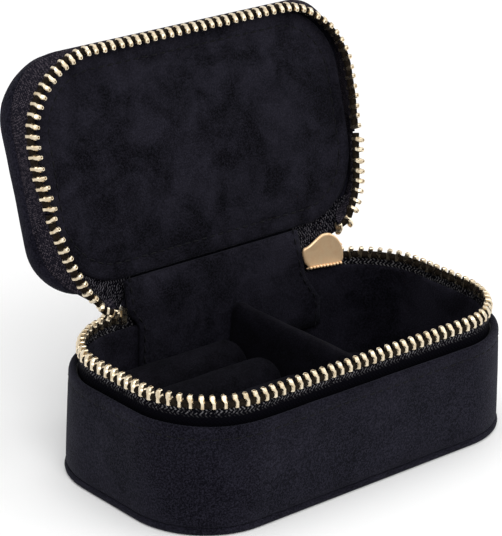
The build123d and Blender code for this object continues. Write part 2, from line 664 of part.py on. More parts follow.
# Slider: two plates joined by a wedge, with lips that hold the tape
turned = math.radians(SLIDER_ANGLE)
outward = Vector(math.sin(turned), math.cos(turned), 0)
towards_nose = Vector(-math.cos(turned), math.sin(turned), 0)
slider_middle = Vector(corner_x, corner_y, SLIDER_MID_Z) + outward * row_radius
slider_plane = Plane(origin=slider_middle, x_dir=towards_nose, z_dir=outward)
half_length = SLIDER_LENGTH / 2
half_height = SLIDER_HEIGHT / 2
shoulder_x = -half_length + SLIDER_SHOULDER
lip_x = SLIDER_TAPER_START - SLIDER_LIP_LENGTH / 2
post_x = -half_length + SLIDER_POST_LENGTH / 2
with BuildPart() as slider_body:
    for face in (-SLIDER_INNER_FACE - SLIDER_PLATE, SLIDER_OUTER_FACE):
        with BuildSketch(slider_plane.offset(face)) as plate_outline:
            with BuildLine():
                Polyline(
                    (half_length, SLIDER_NOSE_HEIGHT / 2),
                    (SLIDER_TAPER_START, half_height),
                    (shoulder_x, half_height),
                    (-half_length, half_height - SLIDER_SHOULDER),
                    (-half_length, -half_height + SLIDER_SHOULDER),
                    (shoulder_x, -half_height),
                    (SLIDER_TAPER_START, -half_height),
                    (half_length, -SLIDER_NOSE_HEIGHT / 2),
                    close=True,
                )
            make_face()
            fillet(plate_outline.vertices(), radius=SLIDER_CORNER)
        extrude(amount=SLIDER_PLATE)
    for lip_face, lip_depth in ((-SLIDER_INNER_FACE, SLIDER_INNER_LIP), (SLIDER_OUTER_FACE, -SLIDER_OUTER_LIP)):
        with BuildSketch(slider_plane.offset(lip_face)):
            with Locations(
                (lip_x, half_height - SLIDER_LIP / 2),
                (lip_x, -half_height + SLIDER_LIP / 2),
            ):
                Rectangle(SLIDER_LIP_LENGTH, SLIDER_LIP)
        extrude(amount=lip_depth)
    with BuildSketch(slider_plane.offset(-SLIDER_INNER_FACE)):
        with Locations((post_x, SLIDER_POST_LIFT)):
            Rectangle(SLIDER_POST_LENGTH, SLIDER_POST_HEIGHT)
    extrude(amount=SLIDER_INNER_FACE + SLIDER_OUTER_FACE)
slider_body.part.label = "slider_body"
export_step(slider_body.part, "parts/slider_body.step")

# Arch on the slider's outer plate
arch_foot = SLIDER_OUTER_FACE + SLIDER_PLATE
with BuildPart() as slider_arch:
    with BuildSketch(slider_plane.offset(arch_foot)):
        Rectangle(ARCH_LENGTH, ARCH_WIDTH)
    extrude(amount=ARCH_HEIGHT)
    with BuildSketch(slider_plane.offset(arch_foot)):
        Rectangle(ARCH_LENGTH - 2 * ARCH_WALL, ARCH_WIDTH)
    extrude(amount=ARCH_HEIGHT - ARCH_WALL, mode=Mode.SUBTRACT)
slider_arch.part.label = "slider_arch"
export_step(slider_arch.part, "parts/slider_arch.step")

# Pull tab: its bar lies under the arch, its tongue towards the slider's nose
bar_middle = arch_foot + (ARCH_HEIGHT - ARCH_WALL) / 2
with BuildPart() as pull_tab:
    with BuildSketch(slider_plane.offset(bar_middle - PULL_THICKNESS / 2)) as tab_outline:
        with Locations((-PULL_BAR / 2, 0)):
            Rectangle(PULL_LENGTH, PULL_WIDTH, align=(Align.MIN, Align.CENTER))
        fillet(tab_outline.vertices().group_by(Axis.X)[-1], radius=PULL_ROUND)
        with Locations((PULL_BAR / 2, 0)):
            Rectangle(PULL_WINDOW, PULL_WINDOW_WIDTH, align=(Align.MIN, Align.CENTER), mode=Mode.SUBTRACT)
        with Locations((PULL_LENGTH - PULL_WIDTH / 2, 0)):
            Circle(PULL_HOLE_RADIUS, mode=Mode.SUBTRACT)
    extrude(amount=PULL_THICKNESS)
pull_tab.part.label = "pull_tab"
export_step(pull_tab.part, "parts/pull_tab.step")
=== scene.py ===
"""Velvet jewellery case with a gilt zip round its rim, standing open on a pale floor."""
import bmesh
import bpy
import math
from mathutils import Matrix, Quaternion, Vector, noise


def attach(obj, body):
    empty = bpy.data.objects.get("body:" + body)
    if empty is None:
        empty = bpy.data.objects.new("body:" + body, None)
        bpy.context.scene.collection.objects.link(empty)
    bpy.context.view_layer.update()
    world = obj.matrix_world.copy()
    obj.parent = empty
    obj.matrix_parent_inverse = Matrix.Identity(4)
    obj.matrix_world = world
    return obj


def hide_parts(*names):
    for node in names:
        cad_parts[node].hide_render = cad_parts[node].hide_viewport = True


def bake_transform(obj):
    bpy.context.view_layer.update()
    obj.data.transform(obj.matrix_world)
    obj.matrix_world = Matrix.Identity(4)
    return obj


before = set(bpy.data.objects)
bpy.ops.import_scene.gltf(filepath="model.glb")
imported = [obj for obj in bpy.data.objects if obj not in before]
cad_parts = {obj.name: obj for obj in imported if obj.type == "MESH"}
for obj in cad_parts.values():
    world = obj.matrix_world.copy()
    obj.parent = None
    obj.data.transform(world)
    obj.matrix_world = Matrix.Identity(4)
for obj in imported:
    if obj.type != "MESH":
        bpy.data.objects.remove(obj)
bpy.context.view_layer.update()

# Outer band: thin board wrapped in velvet pile, folded over its top edge with a soft roll and
# glued down inside. A line of thread runs round it just below the fold and draws the pile in.
MM = 0.001
BAND_LENGTH = 110.0
BAND_DEPTH = 61.0
BAND_CORNER_FOOT = 20.2
BAND_CORNER_WIDENING = 2.7 / 34.0
# Inset and height of each level, from the foot up, over the fold and down inside
BAND_PROFILE = (
    (1.1, 1.75), (0.35, 1.95), (0.06, 2.5), (0.0, 4.0), (-0.04, 7.0), (-0.06, 10.5), (-0.06, 14.0),
    (-0.05, 17.5), (-0.02, 20.5), (0.0, 22.6), (0.05, 23.5), (0.16, 24.0), (0.05, 24.5), (0.0, 25.2),
    (0.04, 25.8), (0.2, 26.35), (0.55, 26.72), (1.0, 26.8), (1.45, 26.62), (1.85, 26.1), (2.15, 25.2),
    (2.28, 23.6),
)


def rounded_plan(half_x, half_y, radius, middle_y=0.0, corner=18, front=44, side=14):
    """Points round a plan with round corners, anticlockwise from the front left corner, in millimetres."""
    centres = ((-1, -1, 180), (1, -1, 270), (1, 1, 0), (-1, 1, 90))

    def on_corner(sx, sy, degrees):
        a = math.radians(degrees)
        return Vector((
            sx * (half_x - radius) + radius * math.cos(a),
            middle_y + sy * (half_y - radius) + radius * math.sin(a),
        ))

    points = []
    for k, steps in enumerate((front, side, front, side)):
        sx, sy, start = centres[k]
        points += [on_corner(sx, sy, start + 90 * i / corner) for i in range(corner + 1)]
        last = points[-1]
        ahead = on_corner(*centres[(k + 1) % 4])
        points += [last.lerp(ahead, i / steps) for i in range(1, steps)]
    return points


def base_level(inset, height):
    """One level of the base's plan, drawn in by an inset."""
    radius = BAND_CORNER_FOOT + BAND_CORNER_WIDENING * height
    flat = rounded_plan(BAND_LENGTH / 2 - inset, BAND_DEPTH / 2 - inset, max(radius - inset, 0.2))
    return [Vector((p.x, p.y, height)) for p in flat]


def base_levels(profile):
    """The levels of a piece of the base, by their insets and heights."""
    return [base_level(inset, height) for inset, height in profile]


def plain_mesh(name, made):
    """The mesh of a bmesh, which is then freed."""
    mesh = bpy.data.meshes.new(name)
    made.to_mesh(mesh)
    made.free()
    return mesh


def new_piece(name, mesh, body):
    """A piece of the case, riding on a body where it is given one."""
    piece = bpy.data.objects.new(name, mesh)
    bpy.context.scene.collection.objects.link(piece)
    if body:
        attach(piece, body)
    return piece


def skin(name, loops, body, material, caps="", join_ends=False, closed=True):
    """A skin of cloth, board or metal through loops of points, with a UV map, both in millimetres.

    caps says which ends a face closes: first, last or both. join_ends joins the last loop to
    the first, and loops that are open lines have closed=False.
    """
    made = bmesh.new()
    count = len(loops[0])
    columns = range(count if closed else count - 1)
    bands = range(len(loops) if join_ends else len(loops) - 1)
    rows = [[made.verts.new(p * MM) for p in loop] for loop in loops]
    uv = made.loops.layers.uv.new("cloth")
    along, up = [0.0], [0.0]
    for i in columns:
        along.append(along[-1] + (loops[0][(i + 1) % count] - loops[0][i]).length)
    for j in bands:
        up.append(up[-1] + (loops[(j + 1) % len(loops)][0] - loops[j][0]).length)
    for j in bands:
        low, high = rows[j], rows[(j + 1) % len(loops)]
        for i in columns:
            n = (i + 1) % count
            quad = made.faces.new((low[i], low[n], high[n], high[i]))
            places = ((along[i], up[j]), (along[i + 1], up[j]), (along[i + 1], up[j + 1]), (along[i], up[j + 1]))
            for corner, place in zip(quad.loops, places):
                corner[uv].uv = place
    for end, row in (("first", rows[0]), ("last", rows[-1])):
        if caps in (end, "both"):
            for corner in made.faces.new(row).loops:
                corner[uv].uv = (corner.vert.co.x / MM, corner.vert.co.y / MM)
    bmesh.ops.recalc_face_normals(made, faces=made.faces)
    for face in made.faces:
        face.smooth = True
    mesh = plain_mesh(name, made)
    mesh.materials.append(material)
    return new_piece(name, mesh, body)


def loosen(piece, amount, size, seed):
    """Small soft waves, as glued cloth has, along each point's own normal, in millimetres."""
    shift = Vector((seed * 3.1, seed * 1.7, seed * 0.9))
    normals = [v.normal.copy() for v in piece.data.vertices]
    for vertex, normal in zip(piece.data.vertices, normals):
        wave = noise.noise(vertex.co / (size * MM) + shift) + 0.5 * noise.noise(vertex.co / (0.45 * size * MM) + shift)
        vertex.co += normal * (wave * amount * MM)
    piece.data.update()


def feed(made, inputs):
    """Gives a node's inputs their plain values, or the outputs that they are linked to."""
    for label, value in inputs.items():
        if isinstance(value, bpy.types.NodeSocket):
            made.id_data.links.new(value, made.inputs[label])
        else:
            made.inputs[label].default_value = value


def node(tree, kind, inputs=None, **settings):
    """One node of a tree, with its settings and what feeds it."""
    made = tree.nodes.new(kind)
    for key, value in settings.items():
        setattr(made, key, value)
    feed(made, inputs or {})
    return made


def new_group(name, inputs, outputs, kind="ShaderNodeTree"):
    """An empty node group; an input is given by its first value, or by its kind where it has none."""
    tree = bpy.data.node_groups.new(name, kind)
    for label, value in inputs.items():
        socket = value if isinstance(value, str) else {tuple: "Color", float: "Float", int: "Int"}[type(value)]
        made = tree.interface.new_socket(label, in_out="INPUT", socket_type="NodeSocket" + socket)
        if socket != value:
            made.default_value = value
    for label, socket in outputs.items():
        tree.interface.new_socket(label, in_out="OUTPUT", socket_type="NodeSocket" + socket)
    return tree, tree.nodes.new("NodeGroupInput").outputs, tree.nodes.new("NodeGroupOutput")


def new_material(name, shader_values):
    """A new material and its shader, with the shader's plain values."""
    made = bpy.data.materials.new(name)
    made.use_nodes = True
    shader = made.node_tree.nodes["Principled BSDF"]
    feed(shader, shader_values)
    return made, shader


def patterned(name, group, values, shader_values, bump, depth):
    """A material whose colour, relief and perhaps roughness come from a shader group."""
    made, shader = new_material(name, shader_values)
    pattern = node(made.node_tree, "ShaderNodeGroup", values, node_tree=group)
    bumps = {"Strength": bump, "Distance": depth, "Height": pattern.outputs["Height"]}
    relief = node(made.node_tree, "ShaderNodeBump", bumps)
    feed(shader, {"Base Color": pattern.outputs["Colour"], "Normal": relief.outputs["Normal"]})
    if "Roughness" in pattern.outputs:
        feed(shader, {"Roughness": pattern.outputs["Roughness"]})
    return made


# The pile itself: fine grain, and larger patches where the pile lies another way
pile, pile_in, pile_out = new_group(
    "velvet pile",
    {"Deep": (0.01, 0.01, 0.014, 1), "Lit": (0.03, 0.03, 0.04, 1), "Grain": 2600.0, "Crush": 90.0, "Crushed": 0.4},
    {"Colour": "Color", "Roughness": "Float", "Height": "Float"},
)
pile_place = pile.nodes.new("ShaderNodeTexCoord").outputs["Object"]
pile_grain = node(pile, "ShaderNodeTexNoise", {
    "Vector": pile_place, "Scale": pile_in["Grain"], "Detail": 3.0, "Roughness": 0.65,
})
pile_patch = node(pile, "ShaderNodeTexNoise", {
    "Vector": pile_place, "Scale": pile_in["Crush"], "Detail": 3.5, "Roughness": 0.6, "Distortion": 0.5,
})
grain_level = node(pile, "ShaderNodeMapRange", {"Value": pile_grain.outputs[0], "From Min": 0.42, "From Max": 0.66})
patch_level = node(pile, "ShaderNodeMapRange", {"Value": pile_patch.outputs[0], "From Min": 0.38, "From Max": 0.64})
patch_part = node(pile, "ShaderNodeMath", {0: patch_level.outputs[0], 1: pile_in["Crushed"]}, operation="MULTIPLY")
grain_share = node(pile, "ShaderNodeMath", {0: 1.0, 1: pile_in["Crushed"]}, operation="SUBTRACT")
grain_part = node(pile, "ShaderNodeMath", {0: grain_level.outputs[0], 1: grain_share.outputs[0]}, operation="MULTIPLY")
pile_sum = node(
    pile, "ShaderNodeMath", {0: patch_part.outputs[0], 1: grain_part.outputs[0]}, operation="ADD", use_clamp=True,
)
pile_colour = node(
    pile, "ShaderNodeMix", {"Factor": pile_sum.outputs[0], "A": pile_in["Deep"], "B": pile_in["Lit"]}, data_type="RGBA",
)
pile_rough = node(pile, "ShaderNodeMapRange", {"Value": pile_sum.outputs[0], "To Min": 0.95, "To Max": 0.72})
feed(pile_out, {
    "Colour": pile_colour.outputs["Result"], "Roughness": pile_rough.outputs[0], "Height": pile_grain.outputs[0],
})


def velvet(name, deep, lit, grain, crush, crushed, sheen, bump):
    """A velvet with its own depth of colour, grain and crush."""
    values = {"Deep": (*deep, 1), "Lit": (*lit, 1), "Grain": grain, "Crush": crush, "Crushed": crushed}
    surface = {
        "Specular IOR Level": 0.06, "Sheen Weight": sheen, "Sheen Roughness": 0.45,
        "Sheen Tint": (0.75, 0.78, 1.0, 1.0),
    }
    return patterned(name, pile, values, surface, bump, 0.0002)


band_velvet = velvet(
    "band velvet", (0.0012, 0.0011, 0.0028), (0.0165, 0.0155, 0.0255),
    grain=2500.0, crush=70.0, crushed=0.22, sheen=0.035, bump=0.9,
)
band = skin("band", base_levels(BAND_PROFILE), "base", band_velvet)
loosen(band, 0.07, 9.0, 1)
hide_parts("base_cover_band")

# Welt and bottom: a thick velvet-covered cord sewn round the foot of the band, and the flat
# bottom cloth glued inside it, on which the case stands.
WELT_INSET = 0.68
WELT_HEIGHT = 0.93
WELT_RADIUS = 0.00092
welt_shape, welt_in, welt_out = new_group(
    "round welt",
    {"Geometry": "Geometry", "Radius": 0.0009, "Finish": "Material"}, {"Geometry": "Geometry"}, "GeometryNodeTree",
)
welt_line = node(welt_shape, "GeometryNodeMeshToCurve", {0: welt_in["Geometry"]})
welt_round = node(welt_shape, "GeometryNodeCurvePrimitiveCircle", {"Resolution": 14, "Radius": welt_in["Radius"]})
welt_sweep = node(welt_shape, "GeometryNodeCurveToMesh", {
    "Curve": welt_line.outputs[0], "Profile Curve": welt_round.outputs[0],
})
welt_finish = node(welt_shape, "GeometryNodeSetMaterial", {
    "Geometry": welt_sweep.outputs[0], "Material": welt_in["Finish"],
})
feed(welt_out, {0: welt_finish.outputs[0]})


def path_mesh(name, points, closed=False, tips=None, runs=None):
    """A line of edges in millimetres, with the directions that pieces along it follow."""
    mesh = bpy.data.meshes.new(name)
    edges = [(i, i + 1) for i in range(len(points) - 1)]
    if closed:
        edges.append((len(points) - 1, 0))
    mesh.from_pydata([p * MM for p in points], edges, [])
    for label, values in (("tip", tips), ("run", runs)):
        if values:
            stored = mesh.attributes.new(label, "FLOAT_VECTOR", "POINT")
            stored.data.foreach_set("vector", [c for v in values for c in v])
    made = bpy.data.objects.new(name, mesh)
    bpy.context.scene.collection.objects.link(made)
    return made


def applied_mesh(piece):
    """The plain mesh of an object with its modifiers applied."""
    graph = bpy.context.evaluated_depsgraph_get()
    return bpy.data.meshes.new_from_object(piece.evaluated_get(graph), depsgraph=graph)


def grow(name, path, tree, values, body, smooth=True):
    """The plain piece that a tree of geometry nodes makes on a path, which then goes."""
    steps = path.modifiers.new("grow", "NODES")
    steps.node_group = tree
    sockets = {s.name: s.identifier for s in tree.interface.items_tree if s.in_out == "INPUT"}
    for label, value in values.items():
        steps[sockets[label]] = value
    mesh = applied_mesh(path)
    mesh.name = name
    bpy.data.objects.remove(path)
    for face in mesh.polygons:
        face.use_smooth = smooth
    return new_piece(name, mesh, body)


welt_path = path_mesh("welt path", [Vector((p.x, p.y, WELT_HEIGHT)) for p in base_level(WELT_INSET, 0.0)], closed=True)
welt = grow("welt", welt_path, welt_shape, {"Radius": WELT_RADIUS, "Finish": band_velvet}, "base")
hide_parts("base_piping")

BOTTOM_PROFILE = (
    (1.3, 0.9), (1.5, 0.35), (2.2, 0.06), (4.0, 0.0), (9.0, 0.02), (15.0, 0.04), (22.0, 0.04), (29.9, 0.04),
)
bottom = skin("bottom_cloth", base_levels(BOTTOM_PROFILE), "base", band_velvet, caps="last")
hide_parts("base_bottom_cover")

# Lining and floor: soft velvet glued up the inside of the tape, and a thin padded floor laid
# in on its board. Handling has crushed their pile in patches, more than outside.
# Their velvet is painted darker than the band's: painted shade for the inside of the case, on top of the crushed
# patches.
lining_velvet_shaded = velvet(
    "lining velvet", (0.0006, 0.0005, 0.0014), (0.0145, 0.0136, 0.0215),
    grain=2300.0, crush=95.0, crushed=0.5, sheen=0.018, bump=1.0,
)
LINING_PROFILE = (
    (4.1, 2.4), (4.1, 8.0), (4.12, 14.0), (4.15, 20.0), (4.12, 25.0), (4.08, 27.8), (3.95, 28.5), (3.7, 28.88),
    (3.4, 28.86), (3.16, 28.5), (3.1, 27.6), (3.1, 20.0),
)
lining = skin("lining_cloth", base_levels(LINING_PROFILE), "base", lining_velvet_shaded)
loosen(lining, 0.08, 12.0, 2)
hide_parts("base_lining")

FLOOR_PROFILE = (
    (4.3, 2.42), (4.25, 3.0), (4.4, 3.6), (5.0, 4.05), (6.2, 4.24), (8.0, 4.3), (11.0, 4.3), (15.0, 4.3),
    (20.0, 4.3), (25.0, 4.3), (29.5, 4.3),
)
floor_pad = skin("floor_cushion", base_levels(FLOOR_PROFILE), "base", lining_velvet_shaded, caps="both")
loosen(floor_pad, 0.05, 10.0, 3)
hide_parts("base_floor_pad")

# Divider: a board inside a padded velvet cover, thin at its rounded top and thicker at the
# foot, glued between the front wall and the hinge flap. Its padding is blown up as cloth.
BLOWN_SCALE = 10
BLOWN_FRAMES = 20
DIVIDER_X = 4.8
DIVIDER_FRONT = -26.3
DIVIDER_BACK = 25.35
DIVIDER_STEPS = 40
DIVIDER_END_PULL = 0.35
# Half thickness and height of each level of its section
DIVIDER_PROFILE = (
    (3.3, 4.35), (3.25, 8.0), (3.0, 14.0), (2.65, 20.0), (2.25, 25.0), (2.0, 26.5), (1.6, 27.5), (0.9, 28.15),
    (0.0, 28.3),
)


def puffed(piece, cap, voxel=0.8, pressure=4.0):
    """Fills a pad: blows its skin up as cloth at a larger scale, with each point's move under a cap."""
    big = piece.data.copy()
    for vertex in big.vertices:
        vertex.co *= BLOWN_SCALE
    blown = bpy.data.objects.new("blown", big)
    bpy.context.scene.collection.objects.link(blown)
    even = blown.modifiers.new("even", "REMESH")
    even.mode = "VOXEL"
    even.voxel_size = voxel * BLOWN_SCALE * MM
    blown.data = applied_mesh(blown)
    blown.modifiers.clear()
    before = [v.co.copy() for v in blown.data.vertices]
    air = blown.modifiers.new("air", "CLOTH")
    air.settings.quality = 4
    air.settings.mass = 0.25
    air.settings.use_pressure = True
    air.settings.uniform_pressure_force = pressure
    air.settings.effector_weights.gravity = 0.0
    for frame_number in range(1, BLOWN_FRAMES + 1):
        bpy.context.scene.frame_set(frame_number)
    graph = bpy.context.evaluated_depsgraph_get()
    after = [v.co.copy() for v in blown.evaluated_get(graph).data.vertices]
    blown.modifiers.clear()
    most = cap * BLOWN_SCALE * MM
    for vertex, old, new in zip(blown.data.vertices, before, after):
        move = new - old
        if move.length > most:
            move *= most / move.length
        vertex.co = old + move
    finer = blown.modifiers.new("finer", "SUBSURF")
    finer.levels = 1
    mesh = applied_mesh(blown)
    for vertex in mesh.vertices:
        vertex.co *= 1 / BLOWN_SCALE
    for face in mesh.polygons:
        face.use_smooth = True
    mesh.name = piece.name
    mesh.materials.clear()
    mesh.materials.append(piece.data.materials[0])
    piece.data = mesh
    bpy.data.objects.remove(blown)
    bpy.context.scene.frame_set(1)


# Velvet of the divider, rolls and bed, painted about a third as bright as the band's: painted shade deep inside the
# case, with its pile crushed in patches.
roll_velvet_shaded = velvet(
    "roll velvet", (0.0004, 0.0003, 0.001), (0.0052, 0.0048, 0.0082),
    grain=2300.0, crush=110.0, crushed=0.45, sheen=0.006, bump=1.0,
)
divider_loops = []
for k in range(DIVIDER_STEPS + 1):
    y = DIVIDER_FRONT + (DIVIDER_BACK - DIVIDER_FRONT) * k / DIVIDER_STEPS
    from_end = min(k, DIVIDER_STEPS - k) / 2
    pull = 0.0 if from_end >= 1 else DIVIDER_END_PULL * (1 - from_end)
    right_side, left_side = [
        [Vector((DIVIDER_X + side * max(half - pull, 0.0), y, z - pull * (z > 27))) for half, z in DIVIDER_PROFILE]
        for side in (1, -1)
    ]
    divider_loops.append(right_side + left_side[-2::-1])
divider = skin("divider_pad", divider_loops, "base", roll_velvet_shaded, caps="both")
loosen(divider, 0.14, 7.0, 4)
puffed(divider, 0.35)
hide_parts("divider_cover")

# Ring rolls: four foam rolls in velvet sleeves, glued side by side on a foam bed under velvet,
# with slots between them that grip the rings.
ROLL_LEFT = -50.8
ROLL_RIGHT = 1.2
ROLL_RADIUS = 6.1
ROLL_STRETCH = 1.1
ROLL_PITCH = 13.05
ROLL_LAST_Y = 19.05
ROLL_Z = 14.5
ROLL_STEPS = 26
ROLL_SIDES = 28
LEFT_TAPER = 0.14
RIGHT_TAPER = 0.08
WALL_INSET = 4.35
wall_corner = BAND_CORNER_FOOT + BAND_CORNER_WIDENING * ROLL_Z - WALL_INSET
wall_end_x = BAND_LENGTH / 2 - WALL_INSET - wall_corner
wall_end_y = BAND_DEPTH / 2 - WALL_INSET - wall_corner
for i in range(4):
    roll_y = ROLL_LAST_Y - i * ROLL_PITCH
    loops = []
    for k in range(ROLL_STEPS + 1):
        t = k / ROLL_STEPS
        swell = math.sin(math.pi / 2 * min(t / LEFT_TAPER, (1 - t) / RIGHT_TAPER, 1.0))
        ring = []
        for a in range(ROLL_SIDES):
            turn = 2 * math.pi * a / ROLL_SIDES
            ry = roll_y + ROLL_RADIUS * (0.45 + 0.55 * swell) * math.cos(turn)
            rz = ROLL_Z + ROLL_RADIUS * ROLL_STRETCH * (0.45 + 0.55 * swell) * math.sin(turn)
            over = max(abs(ry) - wall_end_y, 0.0)
            wall_x = -wall_end_x - math.sqrt(max(wall_corner * wall_corner - over * over, 1.0))
            left = max(ROLL_LEFT, wall_x)
            ring.append(Vector((left + (ROLL_RIGHT - left) * t, ry, rz)))
        loops.append(ring)
    roll = skin(f"roll_pad_{i + 1}", loops, "base", roll_velvet_shaded, caps="both")
    loosen(roll, 0.16, 8.0, 5 + i)
    puffed(roll, 0.3)
    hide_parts(f"ring_roll_{i + 1}")

BED_PROFILE = ((5.0, 4.36), (4.95, 6.0), (5.1, 7.3), (5.8, 7.8), (8.0, 7.85), (14.0, 7.85), (22.0, 7.85), (29.0, 7.85))
bed_loops = []
for inset, height in BED_PROFILE:
    bed_loops.append([Vector((min(p.x, ROLL_RIGHT - inset / 12), p.y, p.z)) for p in base_level(inset, height)])
bed = skin("roll_bed", bed_loops, "base", roll_velvet_shaded, caps="both")
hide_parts("ring_cushion_bed")

# Lower tape: a woven strip sewn between the wall board and the lining, which stands up past
# both, with a herringbone of lighter threads.
weave, weave_in, weave_out = new_group(
    "herringbone weave",
    {
        "Ground": (0.01, 0.01, 0.012, 1), "Thread": (0.06, 0.06, 0.065, 1), "Thread Pitch": 0.62, "Rib Width": 0.9,
        "Dark Until": 0.0, "Full From": 1.0,
    },
    {"Colour": "Color", "Height": "Float"},
)
weave_map = node(weave, "ShaderNodeUVMap", uv_map="cloth")
weave_split = node(weave, "ShaderNodeSeparateXYZ", {0: weave_map.outputs[0]})
weave_fold = node(
    weave, "ShaderNodeMath", {0: weave_split.outputs["Y"], 1: weave_in["Rib Width"]}, operation="PINGPONG",
)
weave_slant = node(weave, "ShaderNodeMath", {0: weave_split.outputs["X"], 1: weave_fold.outputs[0]}, operation="ADD")
weave_count = node(
    weave, "ShaderNodeMath", {0: weave_slant.outputs[0], 1: weave_in["Thread Pitch"]}, operation="DIVIDE",
)
weave_turn = node(weave, "ShaderNodeMath", {0: weave_count.outputs[0], 1: 2 * math.pi}, operation="MULTIPLY")
weave_wave = node(weave, "ShaderNodeMath", {0: weave_turn.outputs[0]}, operation="SINE")
weave_level = node(weave, "ShaderNodeMapRange", {"Value": weave_wave.outputs[0], "From Min": -0.2, "From Max": 1.0})
weave_place = weave.nodes.new("ShaderNodeTexCoord").outputs["Object"]
weave_break = node(weave, "ShaderNodeTexNoise", {"Vector": weave_place, "Scale": 1700.0, "Detail": 2.0})
break_level = node(weave, "ShaderNodeMapRange", {"Value": weave_break.outputs[0], "From Min": 0.42, "From Max": 0.6})
weave_patch = node(
    weave, "ShaderNodeMath", {0: weave_level.outputs[0], 1: break_level.outputs[0]}, operation="MULTIPLY",
)
# Painted shade: below the first height the lighter threads are hidden, so the weave keeps its dark ground, and they
# fade in up to the second height.
weave_shade_fade = node(weave, "ShaderNodeMapRange", {
    "Value": weave_split.outputs["Y"], "From Min": weave_in["Dark Until"], "From Max": weave_in["Full From"],
})
weave_shown = node(weave, "ShaderNodeMath", {0: weave_patch.outputs[0], 1: weave_shade_fade.outputs[0]}, operation="MULTIPLY")
weave_colour = node(
    weave, "ShaderNodeMix", {"Factor": weave_shown.outputs[0], "A": weave_in["Ground"], "B": weave_in["Thread"]},
    data_type="RGBA",
)
feed(weave_out, {"Colour": weave_colour.outputs["Result"], "Height": weave_level.outputs[0]})


def woven(name, ground, thread, pitch, rib, shade_until, full_from):
    """A woven cloth in two thread colours; below the first of two heights of its UV map its lighter thread is hidden as
    painted shade, and it fades in up to the second.
    """
    values = {
        "Ground": (*ground, 1), "Thread": (*thread, 1), "Thread Pitch": pitch, "Rib Width": rib,
        "Dark Until": shade_until, "Full From": full_from,
    }
    return patterned(name, weave, values, {"Specular IOR Level": 0.02, "Roughness": 0.8}, 0.5, 0.0002)


def open_run(plan, keep):
    """The numbers of a closed plan's kept points, in order from where its opening ends."""
    kept = [i for i, p in enumerate(plan) if keep(p)]
    first = next(i for i in kept if (i - 1) % len(plan) not in kept)
    return [(first + k) % len(plan) for k in range(len(kept))]


# Lower tape: its lighter threads are hidden up to 14.4 mm along its UV map, about 1.6 mm above the band's top, and
# shown in full by 15.9 mm, just under the teeth. This is painted shade in the gap between band and teeth.
tape_weave = woven(
    "tape weave", (0.0016, 0.0015, 0.0028), (0.16, 0.155, 0.165), pitch=1.0, rib=0.8, shade_until=14.4, full_from=15.9,
)
TAPE_PROFILE = (
    (2.35, 14.0), (2.35, 20.0), (2.35, 26.0), (2.35, 29.0), (2.36, 31.4), (2.5, 31.75), (2.9, 31.75), (3.04, 31.4),
    (3.05, 29.0), (3.05, 20.0), (3.05, 14.0),
)
TAPE_GAP_LEFT = -27.0
TAPE_GAP_RIGHT = 25.0
tape_levels = base_levels(TAPE_PROFILE)
tape_run = open_run(tape_levels[0], lambda p: p.y <= 20 or not TAPE_GAP_LEFT < p.x < TAPE_GAP_RIGHT)
tape_loops = [[level[i] for i in tape_run] for level in tape_levels]
tape = skin("lower_tape", tape_loops, "base", tape_weave, join_ends=True, closed=False)
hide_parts("base_zip_tape")

# Lower teeth: cast gilt teeth clamped on the tape's edge over a woven cord, one every tenth of
# an inch. Each has two legs, a narrow neck, and a wider head with rounded edges.
TOOTH_PITCH = 2.55
# The same in metres, a hair less
ROW_PITCH = 0.0025495
TOOTH_FOOT = 30.1
TOOTH_CHAMFER = 0.58
# Half widths, lean, side step of the head, and height of each level of a tooth
TOOTH_SECTIONS = (
    (0.5, 0.9, 0.0, 0.0, 0.45), (0.58, 1.04, 0.0, 0.0, 0.7), (0.56, 1.04, 0.0, 0.0, 1.8),
    (0.6, 1.04, 0.0, 0.04, 2.1), (0.62, 0.98, 0.1, 0.24, 2.45), (0.62, 0.86, 0.2, 0.32, 2.9),
    (0.56, 0.66, 0.34, 0.32, 3.3), (0.4, 0.44, 0.42, 0.3, 3.5), (0.2, 0.24, 0.42, 0.3, 3.48),
    (0.15, 0.18, 0.42, 0.3, 3.05),
)
ROW_INSET = 2.7
ROW_CORNER = 19.9
ROW_LEFT_END = -31.6165
ROW_RIGHT_END = 28.0
LOWER_TOOTH_COUNT = 90
CORD_RADIUS = 0.00088
CORD_RISE = 1.3
metal, metal_in, metal_out = new_group(
    "plated metal",
    {"Bright": (0.8, 0.65, 0.4, 1), "Dull": (0.5, 0.36, 0.2, 1), "Polish": 0.25},
    {"Colour": "Color", "Roughness": "Float", "Height": "Float"},
)
metal_place = metal.nodes.new("ShaderNodeTexCoord").outputs["Object"]
metal_spots = node(metal, "ShaderNodeTexNoise", {"Vector": metal_place, "Scale": 700.0, "Detail": 3.0})
spot_level = node(metal, "ShaderNodeMapRange", {"Value": metal_spots.outputs[0], "From Min": 0.35, "From Max": 0.7})
metal_colour = node(
    metal, "ShaderNodeMix", {"Factor": spot_level.outputs[0], "A": metal_in["Bright"], "B": metal_in["Dull"]},
    data_type="RGBA",
)
metal_rough = node(
    metal, "ShaderNodeMath", {0: spot_level.outputs[0], 1: 0.18, 2: metal_in["Polish"]}, operation="MULTIPLY_ADD",
)
metal_fine = node(metal, "ShaderNodeTexNoise", {"Vector": metal_place, "Scale": 4200.0, "Detail": 2.0})
feed(metal_out, {
    "Colour": metal_colour.outputs["Result"], "Roughness": metal_rough.outputs[0], "Height": metal_fine.outputs[0],
})


def plated(name, bright, dull, polish, bump, metallic=1.0):
    """A plated metal with slightly duller spots."""
    values = {"Bright": (*bright, 1), "Dull": (*dull, 1), "Polish": polish}
    return patterned(name, metal, values, {"Metallic": metallic}, bump, 0.00005)


